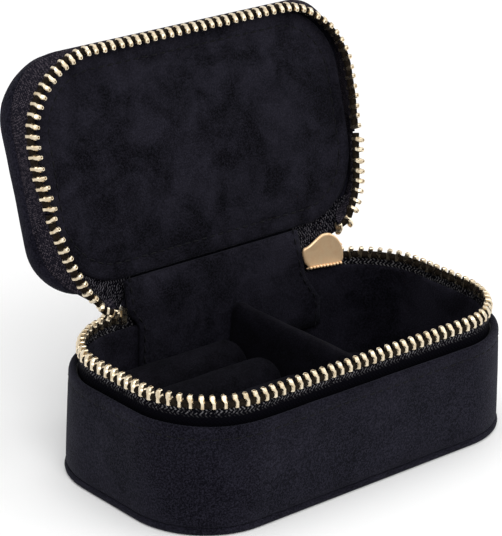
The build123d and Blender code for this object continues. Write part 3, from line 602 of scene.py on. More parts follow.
def joined_rings(made, rings):
    """Faces between rings of points, and over both ends."""
    for low, high in zip(rings, rings[1:]):
        for i in range(len(low)):
            made.faces.new((low[i], low[(i + 1) % len(low)], high[(i + 1) % len(low)], high[i]))
    made.faces.new(rings[0])
    made.faces.new(rings[-1])
    bmesh.ops.recalc_face_normals(made, faces=made.faces)


def tooth_master(name, towards_start):
    """One tooth on its feet: x along the row, -y outwards, z to its tip, its head a little to one side."""
    made = bmesh.new()
    rings = []
    for half_x, half_y, lean, slip, z in TOOTH_SECTIONS:
        cut_x, cut_y = half_x * TOOTH_CHAMFER, half_y * TOOTH_CHAMFER
        outline = (
            (half_x, -cut_y), (cut_x, -half_y), (-cut_x, -half_y), (-half_x, -cut_y),
            (-half_x, cut_y), (-cut_x, half_y), (cut_x, half_y), (half_x, cut_y),
        )
        rings.append([made.verts.new(Vector((x + slip * towards_start, y + lean, z)) * MM) for x, y in outline])
    joined_rings(made, rings)
    return bpy.data.objects.new(name, plain_mesh(name, made))


# Any row of like pieces: stands one piece every pitch along a path, turned to the path's own directions
row_tree, row_in, row_out = new_group(
    "row of pieces",
    {"Geometry": "Geometry", "Piece": "Object", "Pitch": 0.00255, "Finish": "Material", "Wobble": 0.03, "Seed": 1},
    {"Geometry": "Geometry"},
    "GeometryNodeTree",
)
row_line = node(row_tree, "GeometryNodeMeshToCurve", {0: row_in["Geometry"]})
row_steps = node(
    row_tree, "GeometryNodeResampleCurve", {"Curve": row_line.outputs[0], "Length": row_in["Pitch"]}, mode="LENGTH",
)
row_piece = node(row_tree, "GeometryNodeObjectInfo", {"Object": row_in["Piece"]})
row_tip = node(row_tree, "GeometryNodeInputNamedAttribute", {"Name": "tip"}, data_type="FLOAT_VECTOR")
row_run = node(row_tree, "GeometryNodeInputNamedAttribute", {"Name": "run"}, data_type="FLOAT_VECTOR")
row_up = node(row_tree, "FunctionNodeAlignRotationToVector", {"Vector": row_tip.outputs["Attribute"]}, axis="Z")
row_along = node(
    row_tree, "FunctionNodeAlignRotationToVector",
    {"Rotation": row_up.outputs[0], "Vector": row_run.outputs["Attribute"]}, axis="X", pivot_axis="Z",
)
row_place = node(row_tree, "GeometryNodeInstanceOnPoints", {
    "Points": row_steps.outputs[0], "Instance": row_piece.outputs["Geometry"], "Rotation": row_along.outputs[0],
})
row_least = node(row_tree, "ShaderNodeMath", {0: row_in["Wobble"], 1: -1.0}, operation="MULTIPLY")
row_chance = node(
    row_tree, "FunctionNodeRandomValue",
    {"Min": row_least.outputs[0], "Max": row_in["Wobble"], "Seed": row_in["Seed"]}, data_type="FLOAT_VECTOR",
)
row_turn = node(row_tree, "GeometryNodeRotateInstances", {
    "Instances": row_place.outputs[0], "Rotation": row_chance.outputs[0],
})
row_real = node(row_tree, "GeometryNodeRealizeInstances", {0: row_turn.outputs[0]})
row_finish = node(row_tree, "GeometryNodeSetMaterial", {"Geometry": row_real.outputs[0], "Material": row_in["Finish"]})
feed(row_out, {0: row_finish.outputs[0]})


def directions(points, closed=False):
    """The run of a line of points at each of them."""
    count = len(points)
    found = []
    for i in range(count):
        before = points[(i - 1) % count] if closed or i else points[0]
        after = points[(i + 1) % count] if closed or i < count - 1 else points[-1]
        found.append((after - before).normalized())
    return found


def cut_to(points, length):
    """The points of a line up to a length, with its last one there."""
    kept = [points[0]]
    gone = 0.0
    for a, b in zip(points, points[1:]):
        step = (b - a).length
        if gone + step >= length:
            kept.append(a.lerp(b, (length - gone) / step))
            return kept
        kept.append(b)
        gone += step
    return kept


def tooth_row(name, tooth, line, tips, runs, body, seed, pitch=ROW_PITCH, wobble=0.04):
    """A row of teeth along a line, each a little out of true."""
    path = path_mesh(f"{name} path", line, tips=tips, runs=runs)
    values = {"Piece": tooth, "Pitch": pitch, "Finish": tooth_gilt, "Wobble": wobble, "Seed": seed}
    return grow(name, path, row_tree, values, body, smooth=False)


def tooth_cord(name, line, tips, body):
    """The woven cord on the tape's edge that a row of teeth clamps."""
    path = path_mesh(f"{name} path", [p + tip * CORD_RISE for p, tip in zip(line, tips)])
    return grow(name, path, welt_shape, {"Radius": CORD_RADIUS, "Finish": cord_thread}, body)


def finish_carried(material, *names):
    """Puts a finish on pieces that are shown as the CAD has them."""
    for name in names:
        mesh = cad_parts[name].data
        mesh.materials.clear()
        mesh.materials.append(material)


tooth_gilt = plated("tooth gilt", (0.80, 0.70, 0.53), (0.55, 0.44, 0.29), polish=0.2, bump=0.25)
cord_thread = woven(
    "cord thread", (0.009, 0.0068, 0.005), (0.055, 0.041, 0.027), pitch=0.6, rib=0.5, shade_until=-2.0, full_from=-1.0,
)
lower_tooth = tooth_master("lower tooth", -1)
upper_tooth = tooth_master("upper tooth", 1)
back_line = BAND_DEPTH / 2 - ROW_INSET
row_plan = rounded_plan(BAND_LENGTH / 2 - ROW_INSET, back_line, ROW_CORNER, corner=40, front=60, side=20)
row_run_points = open_run(row_plan, lambda p: p.y <= back_line - 0.01 or not ROW_LEFT_END < p.x < ROW_RIGHT_END)
lower_flat = [(ROW_LEFT_END, back_line)] + [row_plan[i] for i in row_run_points] + [(ROW_RIGHT_END, back_line)]
lower_line = cut_to([Vector((*p, TOOTH_FOOT)) for p in lower_flat], (LOWER_TOOTH_COUNT - 1) * TOOTH_PITCH)
lower_tips = [Vector((0, 0, 1))] * len(lower_line)
tooth_cord("lower_cord", lower_line, lower_tips, "base")
lower_teeth = tooth_row("lower_teeth", lower_tooth, lower_line, lower_tips, directions(lower_line), "base", seed=3)
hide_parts("base_zip_teeth")
finish_carried(tooth_gilt, "zip_top_stop", "zip_bottom_stop")

# Hinge cloths: a velvet spine glued on outside, and a stitched flap inside that comes down the
# back wall from under the lid's lining. Both are doubled velvet.
FLAP_THICKNESS = 0.7
FLAP_STEPS = 40
# Place of the front face, height, and left and right edges of each level of the flap
FLAP_LEVELS = (
    (25.45, 14.0, -25.8, 33.6), (25.45, 18.0, -25.8, 33.6), (25.45, 21.45, -25.8, 33.6), (25.45, 25.0, -25.8, 31.0),
    (25.46, 28.9, -25.8, 28.3), (25.62, 30.8, -27.2, 28.0), (25.9, 33.0, -28.8, 27.8), (26.4, 35.2, -28.8, 27.6),
    (27.0, 37.6, -28.8, 27.3), (27.8, 40.9, -28.8, 27.0),
)
flap_loops = []
for face_y, z, left, right in FLAP_LEVELS:
    front = [Vector((left + (right - left) * k / FLAP_STEPS, face_y, z)) for k in range(FLAP_STEPS + 1)]
    behind = [
        Vector((right - (right - left) * k / FLAP_STEPS, face_y + FLAP_THICKNESS, z)) for k in range(FLAP_STEPS + 1)
    ]
    flap_loops.append(front + behind)
flap = skin("inner_flap", flap_loops, None, lining_velvet_shaded, caps="both")
loosen(flap, 0.1, 9.0, 11)
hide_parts("hinge_flap")
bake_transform(flap)

SPINE_LENGTH = 56.0
SPINE_FOOT = 26.95
SPINE_TOP = 38.2
SPINE_INNER_Y = 29.35
SPINE_OUTER_Y = 30.2
SPINE_BOW = 0.12
SPINE_STEPS = 36
spine_loops = []
for k in range(9):
    z = SPINE_FOOT + (SPINE_TOP - SPINE_FOOT) * k / 8
    bow = SPINE_BOW * math.sin(math.pi * k / 8)
    across = [SPINE_LENGTH / 2 - SPINE_LENGTH * i / SPINE_STEPS for i in range(SPINE_STEPS + 1)]
    front = [Vector((x, SPINE_INNER_Y, z)) for x in across]
    behind = [Vector((-x, SPINE_OUTER_Y + bow, z)) for x in across]
    spine_loops.append(front + behind)
spine = skin("hinge_spine", spine_loops, None, band_velvet, caps="both")
loosen(spine, 0.06, 8.0, 12)
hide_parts("hinge_strip")
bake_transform(spine)

# Lid: board and foam under a velvet cover, soft along its top edge, and a padded lining panel
# glued inside, with a line of stitches near its rim. Described closed, then opened.
OPEN_ANGLE = 105.7
HINGE = Vector((0.0, 29.0, 40.0))
LID_TIP_Z = 35.4
LID_SHIFT_X = 1.5
LID_LENGTH = 103.5
LID_COVER_HALF_DEPTH = 29.0
LID_COVER_CORNER = 15.0
LID_COVER_MIDDLE_Y = 1.0
COVER_SWELL_LEFT = 1.6
COVER_SWELL_FRONT = 0.6
PANEL_HALF_LENGTH = 48.3
PANEL_HALF_DEPTH = 27.675
PANEL_CORNER = 18.7
PANEL_MIDDLE_Y = 0.325
# Inset and height above the tooth tips of each level of the cover, then of the lining panel
LID_PROFILE = (
    (2.2, 6.8), (1.2, 6.75), (0.5, 7.05), (0.1, 7.7), (0.0, 8.4), (-0.02, 9.2), (0.05, 9.9), (0.3, 10.6), (0.8, 11.2),
    (1.5, 11.65), (2.4, 11.92), (3.6, 12.0), (6.0, 12.05), (10.0, 12.1), (15.0, 12.12), (20.0, 12.12), (25.0, 12.12),
    (28.6, 12.12),
)
LINING_PANEL_PROFILE = (
    (0.5, 5.4), (0.1, 5.2), (0.0, 4.9), (0.08, 4.55), (0.35, 4.25), (0.9, 4.05), (1.8, 3.96), (3.0, 3.97), (3.7, 4.05),
    (4.0, 4.2), (4.3, 4.05), (5.0, 3.94), (6.5, 3.85), (9.0, 3.8), (12.0, 3.77), (15.0, 3.75), (18.0, 3.74),
    (21.0, 3.74), (24.0, 3.74), (27.2, 3.74),
)
opening = (
    Matrix.Translation(HINGE) @ Matrix.Rotation(-math.radians(OPEN_ANGLE), 4, "X") @ Matrix.Translation(-HINGE)
    @ Matrix.Translation((LID_SHIFT_X, 0.0, LID_TIP_Z))
)
opening_turn = opening.to_3x3()


def share(value):
    """A value kept between 0 and 1."""
    return min(max(value, 0.0), 1.0)


def lining_panel_level(inset, w):
    """One level of the lining panel's plan at a height above the tooth tips, with the lid open."""
    radius = max(PANEL_CORNER - inset, 0.3)
    flat = rounded_plan(PANEL_HALF_LENGTH - inset, PANEL_HALF_DEPTH - inset, radius, PANEL_MIDDLE_Y)
    return [opening @ Vector((p.x, p.y, w)) for p in flat]


def lid_cover_plan(inset):
    """The cover's plan, closed, drawn in by an inset."""
    radius = max(LID_COVER_CORNER - inset, 0.3)
    return rounded_plan(LID_LENGTH / 2 - inset, LID_COVER_HALF_DEPTH - inset, radius, LID_COVER_MIDDLE_Y)


def cover_swollen(p):
    """A point of the cover's plan, with the soft swelling of its left side and front edge."""
    side = share((-p.x - 36.0) / 14.0)
    front = share((16.0 - p.y) / 34.0)
    edge = share((-p.y - 14.0) / 14.0)
    return Vector((p.x - COVER_SWELL_LEFT * side * side * (0.45 + 0.55 * front), p.y - COVER_SWELL_FRONT * edge * edge))


lid_loops = [[opening @ Vector((*cover_swollen(p), w)) for p in lid_cover_plan(inset)] for inset, w in LID_PROFILE]
lid_cover = skin("lid_velvet", lid_loops, "lid", band_velvet, caps="both")
loosen(lid_cover, 0.12, 11.0, 13)
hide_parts("lid_cover")

lining_panel_loops = [lining_panel_level(inset, w) for inset, w in LINING_PANEL_PROFILE]
lining_panel = skin("lid_lining_pad", lining_panel_loops, "lid", lining_velvet_shaded, caps="both")
loosen(lining_panel, 0.12, 13.0, 14)
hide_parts("lid_lining_panel")

# Upper tape and teeth: the other half of the zip, sewn under the lid's edge and leaning
# inwards, open along the hinge. Its tape flares out to the cover's rim.
LEAN = math.radians(14.5)
RIGHT_LEAN = -0.09
LID_ROW_FOOT = 3.95
LID_ROW_END_Y = 8.0
LID_ROW_HALF_LENGTH = LID_LENGTH / 2
LID_ROW_HALF_DEPTH = 61.6 / 2
LID_ROW_RADIUS = 22.0
ROW_SWELL_LEFT = 1.85
ROW_SWELL_RIGHT = 1.1
ROW_SWELL_FRONT = 0.4
FLARE_FORWARD = 1.35
# Inset, height and share of the way from the row's plan to the cover's, for each edge of the tape
UPPER_TAPE_PROFILE = (
    (0.9, 7.3, 1.0), (0.9, 6.7, 0.95), (1.4, 5.7, 0.62), (2.1, 4.7, 0.25), (2.36, 3.9, 0.0), (2.5, 2.6, 0.0),
    (2.9, 2.6, 0.0), (3.04, 3.9, 0.0), (2.8, 4.7, 0.25), (2.1, 5.7, 0.62), (1.6, 6.7, 0.95), (1.6, 7.3, 1.0),
)
# Its lighter threads are dimmed over the first half millimetre of its outer edge: painted shade under the cover's rim.
lid_tape_weave = woven(
    "lid tape weave", (0.0085, 0.0078, 0.012), (0.08, 0.068, 0.082), pitch=0.6, rib=0.5, shade_until=-1.0, full_from=0.5,
)


def lid_row_plan(drawn, **steps):
    """The row's plan, closed, drawn in by a length."""
    return rounded_plan(LID_ROW_HALF_LENGTH - drawn, LID_ROW_HALF_DEPTH - drawn, LID_ROW_RADIUS - drawn, **steps)


def row_swollen(p):
    """A point of the row's plan, whose sides stand fuller than straight; the left runs in towards the hinge."""
    left = share((-p.x - 30.0) / 19.05) ** 2
    right = share((p.x - 30.0) / 19.05) ** 2
    back = share((p.y + 3.0) / 11.0)
    back = back * back * (3 - 2 * back)
    front = share((-p.y - 14.0) / 14.0)
    return Vector((
        p.x - ROW_SWELL_LEFT * left * (1 - 0.85 * back) + ROW_SWELL_RIGHT * right * (1 - 0.7 * back),
        p.y - ROW_SWELL_FRONT * front * front,
    ))


upper_tape_run = open_run(lid_row_plan(ROW_INSET), lambda p: p.y <= LID_ROW_END_Y)
upper_tape_loops = []
for inset, w, flare in UPPER_TAPE_PROFILE:
    near_row = lid_row_plan(inset + (LID_ROW_FOOT - w) * math.tan(LEAN))
    near_cover = lid_cover_plan(inset)
    loop = []
    for i in upper_tape_run:
        at = row_swollen(near_row[i]).lerp(cover_swollen(near_cover[i]), flare)
        front = share((-near_row[i].y - 14.0) / 14.0)
        loop.append(opening @ Vector((at.x, at.y - FLARE_FORWARD * flare * front, w)))
    upper_tape_loops.append(loop)
upper_tape = skin("upper_tape", upper_tape_loops, "lid", lid_tape_weave, join_ends=True, closed=False)
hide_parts("lid_zip_tape")

upper_plan = lid_row_plan(ROW_INSET, corner=40, front=60, side=20)
half_x = LID_ROW_HALF_LENGTH - ROW_INSET
upper_run = [upper_plan[i] for i in open_run(upper_plan, lambda p: p.y < LID_ROW_END_Y)]
upper_run = [Vector((-half_x, LID_ROW_END_Y))] + upper_run + [Vector((half_x, LID_ROW_END_Y))]
upper_flat = [Vector((*row_swollen(p), LID_ROW_FOOT)) for p in upper_run]
upper_length = sum((b - a).length for a, b in zip(upper_flat, upper_flat[1:]))
upper_reach = (int(upper_length / TOOTH_PITCH) - 1) * TOOTH_PITCH
upper_flat = cut_to(upper_flat, upper_length - (upper_length - upper_reach) / 2)
upper_flat = cut_to(upper_flat[::-1], upper_reach)[::-1]
upper_tips = []
for run in directions(upper_flat):
    inward = Vector((0, 0, 1)).cross(run)
    lean = LEAN - (LEAN - RIGHT_LEAN) * share(-inward.x) ** 2
    upper_tips.append(opening_turn @ (inward * math.sin(lean) - Vector((0, 0, 1)) * math.cos(lean)))
upper_line = [opening @ p for p in upper_flat]
upper_back = [-d for d in directions(upper_line)]
tooth_cord("upper_cord", upper_line, upper_tips, "lid")
upper_teeth = tooth_row("upper_teeth", upper_tooth, upper_line, upper_tips, upper_back, "lid", seed=5)
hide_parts("lid_zip_teeth")

# Zip ends: past the hinge the upper half of the zip is loose. It comes down from the lid's side
# to the base's rim in a curve, turning its teeth down, with woven cloth sewn in behind it.
END_STEPS = 10
RIBBON_HALF = 0.3
RIBBON_TOP = 1.2
RIBBON_FOOT = 0.2
RIBBON_SAG = 0.5
LEFT_END_LINE = (
    (-47.1, 32.5, 56.0), (-45.3, 31.2, 50.2), (-42.9, 30.1, 44.8), (-39.96, 28.9, 39.6), (-36.2, 27.95, 36.8),
    (-32.0, 27.3, 35.0),
)
RIGHT_END_LINE = (
    (49.8, 32.6, 55.5), (49.1, 31.4, 50.9), (47.7, 30.0, 46.6), (45.5, 28.7, 43.4), (42.7, 27.4, 41.5),
    (39.8, 26.5, 40.5),
)
# The cover's rim at its back corners, closed, where the loose tape is sewn in
RIM_HEIGHT = 7.2
LEFT_RIM = ((-51.3, 8.0), (-51.2, 14.5), (-50.2, 19.5), (-47.9, 23.6), (-44.2, 26.8), (-39.6, 28.8), (-34.5, 29.6))
RIGHT_RIM = ((50.6, 8.0), (50.4, 12.0), (49.9, 16.0), (48.9, 19.5), (47.2, 22.5), (45.0, 25.0), (42.5, 27.0))
END_CLOTH_THICKNESS = 0.35


def smooth_between(a, b, c, d, steps):
    """Points from b to short of c on a smooth line through four points."""
    found = []
    for k in range(steps):
        t = k / steps
        found.append(0.5 * (2 * b + (c - a) * t + (2 * a - 5 * b + 4 * c - d) * t * t + (3 * b - a - 3 * c + d) * t**3))
    return found


def soft_line(points):
    """An open smooth line through points."""
    through = [Vector(p) for p in points]
    through = [through[0] * 2 - through[1]] + through + [through[-1] * 2 - through[-2]]
    line = []
    for a, b, c, d in zip(through, through[1:], through[2:], through[3:]):
        line += smooth_between(a, b, c, d, END_STEPS)
    return line + [through[-2]]


for side, sign, end_line, rim_line, side_lean, seed in (
    ("left", -1, LEFT_END_LINE, LEFT_RIM, LEAN, 7), ("right", 1, RIGHT_END_LINE, RIGHT_RIM, RIGHT_LEAN, 8),
):
    start = opening @ Vector((*row_swollen(Vector((sign * half_x, LID_ROW_END_Y))), LID_ROW_FOOT))
    curve = soft_line((start,) + end_line)
    rim = soft_line([opening @ Vector((x, y, RIM_HEIGHT)) for x, y in rim_line])
    runs = directions(curve)
    tip_at_lid = opening_turn @ Vector((-sign * math.sin(side_lean), 0, -math.cos(side_lean)))
    tip_at_base = runs[-1].cross(Vector((0, sign, 0))).normalized()
    tips = []
    for k, run in enumerate(runs):
        u = share((k / (len(runs) - 1) - 0.7) / 0.3)
        turn = u * u * (3 - 2 * u)
        tip = tip_at_lid * (1 - turn) + tip_at_base * turn
        tips.append((tip - run * tip.dot(run)).normalized())
    length = sum((b - a).length for a, b in zip(curve, curve[1:]))
    line = cut_to(curve[::-1], length - TOOTH_PITCH * 0.6)[::-1]
    tooth_tips = tips[len(curve) - len(line):]
    tooth_runs = [d * sign for d in directions(line)]
    teeth = tooth_row(
        f"end_teeth_{side}_row", upper_tooth, line, tooth_tips, tooth_runs, None, seed, TOOTH_PITCH * MM, wobble=0.05,
    )
    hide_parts(f"zip_end_teeth_{side}")
    cord = tooth_cord(f"end_cord_{side}", curve, tips, None)
    ribbon_loops = []
    for point, tip, run, edge in zip(curve, tips, runs, rim):
        half = run.cross(tip).normalized() * RIBBON_HALF
        top = point + tip * RIBBON_TOP
        foot = point - tip * RIBBON_FOOT
        back = point.lerp(edge, 0.5) - tip * RIBBON_SAG
        ribbon_loops.append([
            top + half, top - half, foot - half, back - half, edge - half, edge + half, back + half, foot + half,
        ])
    ribbon = skin(f"end_tape_{side}_cloth", ribbon_loops, None, lid_tape_weave, caps="both")
    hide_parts(f"zip_end_tape_{side}")
    for loose in (teeth, cord, ribbon):
        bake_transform(loose)
bpy.data.objects.remove(lower_tooth)
bpy.data.objects.remove(upper_tooth)


def end_cloth(name, top, bottom):
    """A thin woven cloth between two lines of points, bending between base and lid."""
    across, down = 24, 10
    loops = []
    for j in range(down + 1):
        row = []
        for i in range(across + 1):
            t = i / across * (len(top) - 1)
            k = min(int(t), len(top) - 2)
            a = Vector(top[k]).lerp(Vector(top[k + 1]), t - k)
            b = Vector(bottom[k]).lerp(Vector(bottom[k + 1]), t - k)
            row.append(a.lerp(b, j / down))
        loops.append(row + [p + Vector((0, END_CLOTH_THICKNESS, 0)) for p in reversed(row)])
    cloth = skin(name, loops, None, speckled_weave, caps="both")
    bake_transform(cloth)


speckled_weave = woven(
    "speckled weave", (0.0016, 0.0015, 0.0028), (0.1, 0.095, 0.11),
    pitch=0.85, rib=0.5, shade_until=-2.0, full_from=-1.0,
)
end_cloth(
    "end_cloth_right",
    ((28.5, 31.2, 42.0), (34.5, 31.2, 42.3), (40.5, 31.2, 42.6), (45.0, 31.5, 43.4), (48.0, 31.8, 45.5)),
    ((26.0, 27.4, 34.0), (30.0, 27.4, 35.2), (35.5, 27.6, 36.4), (39.5, 27.4, 37.4), (42.2, 27.0, 39.4)),
)
end_cloth(
    "end_cloth_left",
    ((-42.5, 30.8, 46.5), (-37.5, 30.6, 43.6), (-32.0, 30.4, 42.0), (-24.5, 30.0, 41.2)),
    ((-41.0, 29.2, 42.5), (-37.8, 28.6, 39.0), (-34.2, 28.2, 36.2), (-30.8, 27.9, 33.2), (-25.0, 27.8, 30.6)),
)

# Stitches: black thread in short even stitches, round the band below its fold, round the
# lid's lining near its rim, and down both edges of the inner flap.
STITCH_PITCH = 0.0027
SEAM_INSET = 1.5
SEAM_LIFT = 0.06
# Place along the stitch, thickness and height above the cloth of each level of one stitch
STITCH_SECTIONS = ((-1.0, 0.06, -0.16), (-0.75, 0.17, -0.04), (0.0, 0.2, 0.05), (0.75, 0.17, -0.04), (1.0, 0.06, -0.16))
thread, thread_shader = new_material("black thread", {"Roughness": 0.7, "Specular IOR Level": 0.12})
thread_place = thread.node_tree.nodes.new("ShaderNodeTexCoord").outputs["Object"]
thread_twist = node(thread.node_tree, "ShaderNodeTexWave", {"Vector": thread_place, "Scale": 900.0, "Distortion": 1.5})
thread_colour = node(
    thread.node_tree, "ShaderNodeMix",
    {"Factor": thread_twist.outputs["Fac"], "A": (0.0006, 0.0006, 0.001, 1), "B": (0.006, 0.006, 0.008, 1)},
    data_type="RGBA",
)
feed(thread_shader, {"Base Color": thread_colour.outputs["Result"]})
stitch_made = bmesh.new()
stitch_rings = []
for along_stitch, thick, lift in STITCH_SECTIONS:
    ring = [(thick * math.cos(math.pi * a / 3), lift + thick * math.sin(math.pi * a / 3)) for a in range(6)]
    stitch_rings.append([stitch_made.verts.new(Vector((along_stitch, y, z)) * MM) for y, z in ring])
joined_rings(stitch_made, stitch_rings)
stitch = bpy.data.objects.new("stitch master", plain_mesh("stitch", stitch_made))


def stitched(name, line, outwards, body, seed, closed=False):
    """A seam along a line, its stitches standing outwards."""
    path = path_mesh(f"{name} path", line, closed=closed, tips=outwards, runs=directions(line, closed))
    values = {"Piece": stitch, "Pitch": STITCH_PITCH, "Finish": thread, "Wobble": 0.05, "Seed": seed}
    return grow(name, path, row_tree, values, body)


band_line = base_level(0.16, 24.0)
band_out = [Vector((0, 0, 1)).cross(-d).normalized() for d in directions(band_line, True)]
stitched("band_stitches", band_line, band_out, "base", 21, True)
panel_line = lining_panel_level(4.0, 4.12)
panel_out = [opening_turn @ Vector((0, 0, -1))] * len(panel_line)
stitched("lid_stitches", panel_line, panel_out, "lid", 22, True)
for side, sign in (("left", -1), ("right", 1)):
    edge_line = []
    for face_y, z, left, right in reversed(FLAP_LEVELS):
        edge_line.append(Vector((left + SEAM_INSET if sign < 0 else right - SEAM_INSET, face_y - SEAM_LIFT, z)))
    edge_out = [Vector((0, -1, 0))] * len(edge_line)
    seam = stitched(f"flap_stitches_{side}", edge_line, edge_out, None, 23 + sign)
    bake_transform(seam)
bpy.data.objects.remove(stitch)

# Slider: two pear-shaped gilt plates joined by a post, with rolled lips that hold the tape and
# small beads along the inner plate's foot. A bent strap outside carries the pull tab.
# The slider's gilt is under half metallic, so its pale colour shows as diffuse brightness whatever it faces: painted
# reflection standing in for the bright surroundings its polished plates would mirror.
slider_gilt_painted_reflection = plated("slider gilt", (0.98, 0.70, 0.43), (0.90, 0.60, 0.34), polish=0.30, bump=0.05, metallic=0.45)
SLIDER_TURN = math.radians(6.0)
SLIDER_MIDDLE = Vector((35.390, 27.697, 34.3))
slider_out = Vector((math.sin(SLIDER_TURN), math.cos(SLIDER_TURN), 0.0))
slider_nose = Vector((-math.cos(SLIDER_TURN), math.sin(SLIDER_TURN), 0.0))
PEAR = (
    (7.6, 1.9), (6.3, 2.3), (5.0, 3.05), (3.7, 3.9), (2.6, 4.55), (1.5, 4.9), (0.3, 4.85), (-0.9, 4.45), (-2.2, 3.5),
    (-3.4, 2.25), (-4.3, 0.65), (-4.85, -1.25), (-5.0, -3.05), (-4.6, -3.8), (-3.4, -4.15), (-1.5, -4.3), (1.0, -4.3),
    (3.6, -4.05), (5.7, -3.45), (6.9, -2.25), (7.5, -0.65), (7.8, 0.85),
)
PEAR_CENTRE = (1.0, 0.15)
# Inner face, outer face and size of the plates behind and in front of the tape
PLATES = ((-2.35, -3.25, 1.0), (1.3, 2.2, 0.62))
LIP = ((-2.6, -4.35), (5.2, -4.35), (5.2, -3.85), (-2.6, -3.85))
LIP_CENTRE = (1.3, -4.1)
POST = ((-4.7, 0.0), (-4.7, 0.9), (-2.6, 0.9), (-2.6, 0.0))
POST_CENTRE = (-3.65, 0.45)
BEAD_RADIUS = 0.42
STRAP_REACH = 3.05
STRAP_RADIUS = 0.38


def at_slider(along, up, out, middle=SLIDER_MIDDLE):
    """A point in the slider's own directions: towards its nose, up, and outwards."""
    return middle + slider_nose * along + Vector((0, 0, up)) + slider_out * out


def rounded_line(points, steps):
    """A closed smooth line through points."""
    count = len(points)
    line = []
    for i in range(count):
        line += smooth_between(*(Vector(points[(i + k) % count]) for k in (-1, 0, 1, 2)), steps)
    return line


def metal_part(loops):
    """One closed part of the slider through loops of points."""
    return skin("part", loops, None, slider_gilt_painted_reflection, caps="both")


def plate_part(outline, centre, levels):
    """A plate in the slider's plane; each level is a scale of its outline and a height outwards."""
    cx, cy = centre
    return metal_part([
        [at_slider(cx + (p.x - cx) * scale, cy + (p.y - cy) * scale, height) for p in outline]
        for scale, height in levels
    ])


def joined(name, parts, body):
    """Several metal parts as one casting."""
    made = bmesh.new()
    for part in parts:
        made.from_mesh(part.data)
        bpy.data.objects.remove(part)
    mesh = plain_mesh(name, made)
    mesh.materials.append(slider_gilt_painted_reflection)
    return new_piece(name, mesh, body)


casting = []
for near, far, size in PLATES:
    out = 1 if far > near else -1
    levels = (
        (0.9, near), (0.98, near + 0.12 * out), (1.0, near + 0.3 * out), (1.0, far - 0.28 * out),
        (0.975, far - 0.1 * out), (0.92, far), (0.86, far - 0.05 * out), (0.6, far - 0.2 * out),
        (0.25, far - 0.27 * out),
    )
    casting.append(plate_part(rounded_line(PEAR, 4), PEAR_CENTRE, [(scale * size, height) for scale, height in levels]))
for lip_from, lip_to in ((-2.35, -1.65), (1.3, 0.5)):
    levels = ((0.98, lip_from), (1.0, (lip_from + lip_to) / 2), (0.9, lip_to))
    casting.append(plate_part(rounded_line(LIP, 2), LIP_CENTRE, levels))
casting.append(plate_part(rounded_line(POST, 3), POST_CENTRE, ((1.0, -2.4), (1.0, 1.35))))
for k in range(10):
    bead = at_slider(5.4 - k * 1.05, -3.85 + 0.25 * math.cos(k * 0.35), -3.3)
    rings = []
    for tilt in (-0.95, -0.6, 0.0, 0.6, 0.95):
        size = BEAD_RADIUS * math.sqrt(max(1 - tilt * tilt, 0.0))
        turns = [a * math.pi / 4 for a in range(8)]
        rings.append([at_slider(size * math.cos(a), size * math.sin(a), BEAD_RADIUS * tilt, bead) for a in turns])
    casting.append(metal_part(rings))
slider_body = joined("slider_plates", casting, "slider")
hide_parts("slider_body")

strap = []
for k in range(25):
    bend = math.pi * k / 24
    rise = 2.25 + 2.0 * min(1.0, math.sin(bend) * 1.5)
    section = []
    for a in range(10):
        turn = 2 * math.pi * a / 10
        section.append(at_slider(
            STRAP_REACH * math.cos(bend) + STRAP_RADIUS * math.cos(turn) * math.cos(bend), math.sin(turn) * 0.95,
            rise + STRAP_RADIUS * math.cos(turn) * math.sin(bend),
        ))
    strap.append(section)
slider_arch = joined("slider_strap", [metal_part(strap)], "slider")
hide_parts("slider_arch")

# Pull tab: a flat gilt tab with a window that hangs on the strap and a small hole at its end,
# stamped from plate with its edges rounded.
TAB_OUTLINE = (
    (-0.5, 1.9), (1.0, 2.55), (6.0, 2.7), (13.0, 2.7), (18.6, 2.7), (20.2, 2.2), (20.9, 1.0), (20.9, -1.0),
    (20.2, -2.2), (18.6, -2.7), (13.0, -2.7), (6.0, -2.7), (1.0, -2.55), (-0.5, -1.9),
)
TAB_WINDOW = ((0.7, 1.3), (2.5, 1.45), (4.2, 1.3), (4.35, 0.0), (4.2, -1.3), (2.5, -1.45), (0.7, -1.3), (0.6, 0.0))
TAB_HOLE_X = 18.25
TAB_HOLE_RADIUS = 1.1
TAB_MIDDLE_OUT = 3.05
TAB_HALF_THICKNESS = 0.5
TAB_ROUNDING = 0.22
hole_turns = [2 * math.pi * a / 24 for a in range(24)]
tab_hole = [Vector((TAB_HOLE_X + TAB_HOLE_RADIUS * math.cos(a), TAB_HOLE_RADIUS * math.sin(a))) for a in hole_turns]
tab_outlines = (rounded_line(TAB_OUTLINE, 3), rounded_line(TAB_WINDOW, 4), tab_hole)
tab_made = bmesh.new()
tab_faces = []
for side in (-1, 1):
    out = TAB_MIDDLE_OUT + TAB_HALF_THICKNESS * side
    rings = [[tab_made.verts.new(at_slider(p.x, p.y, out) * MM) for p in outline] for outline in tab_outlines]
    edges = [tab_made.edges.new((ring[i - 1], ring[i])) for ring in rings for i in range(len(ring))]
    bmesh.ops.triangle_fill(tab_made, use_beauty=True, edges=edges)
    tab_faces.append(rings)
for low, high in zip(*tab_faces):
    for i in range(len(low)):
        tab_made.faces.new((low[i], low[(i + 1) % len(low)], high[(i + 1) % len(high)], high[i]))
bmesh.ops.recalc_face_normals(tab_made, faces=tab_made.faces)
tab_rounds = [e for e in tab_made.edges if len(e.link_faces) == 2 and e.calc_face_angle(0.0) > 1.2]
bmesh.ops.bevel(tab_made, geom=tab_rounds, offset=TAB_ROUNDING * MM, segments=3, affect="EDGES")
tab_mesh = plain_mesh("pull_plate", tab_made)
tab_mesh.materials.append(slider_gilt_painted_reflection)
pull_plate = new_piece("pull_plate", tab_mesh, "pull")
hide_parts("pull_tab")

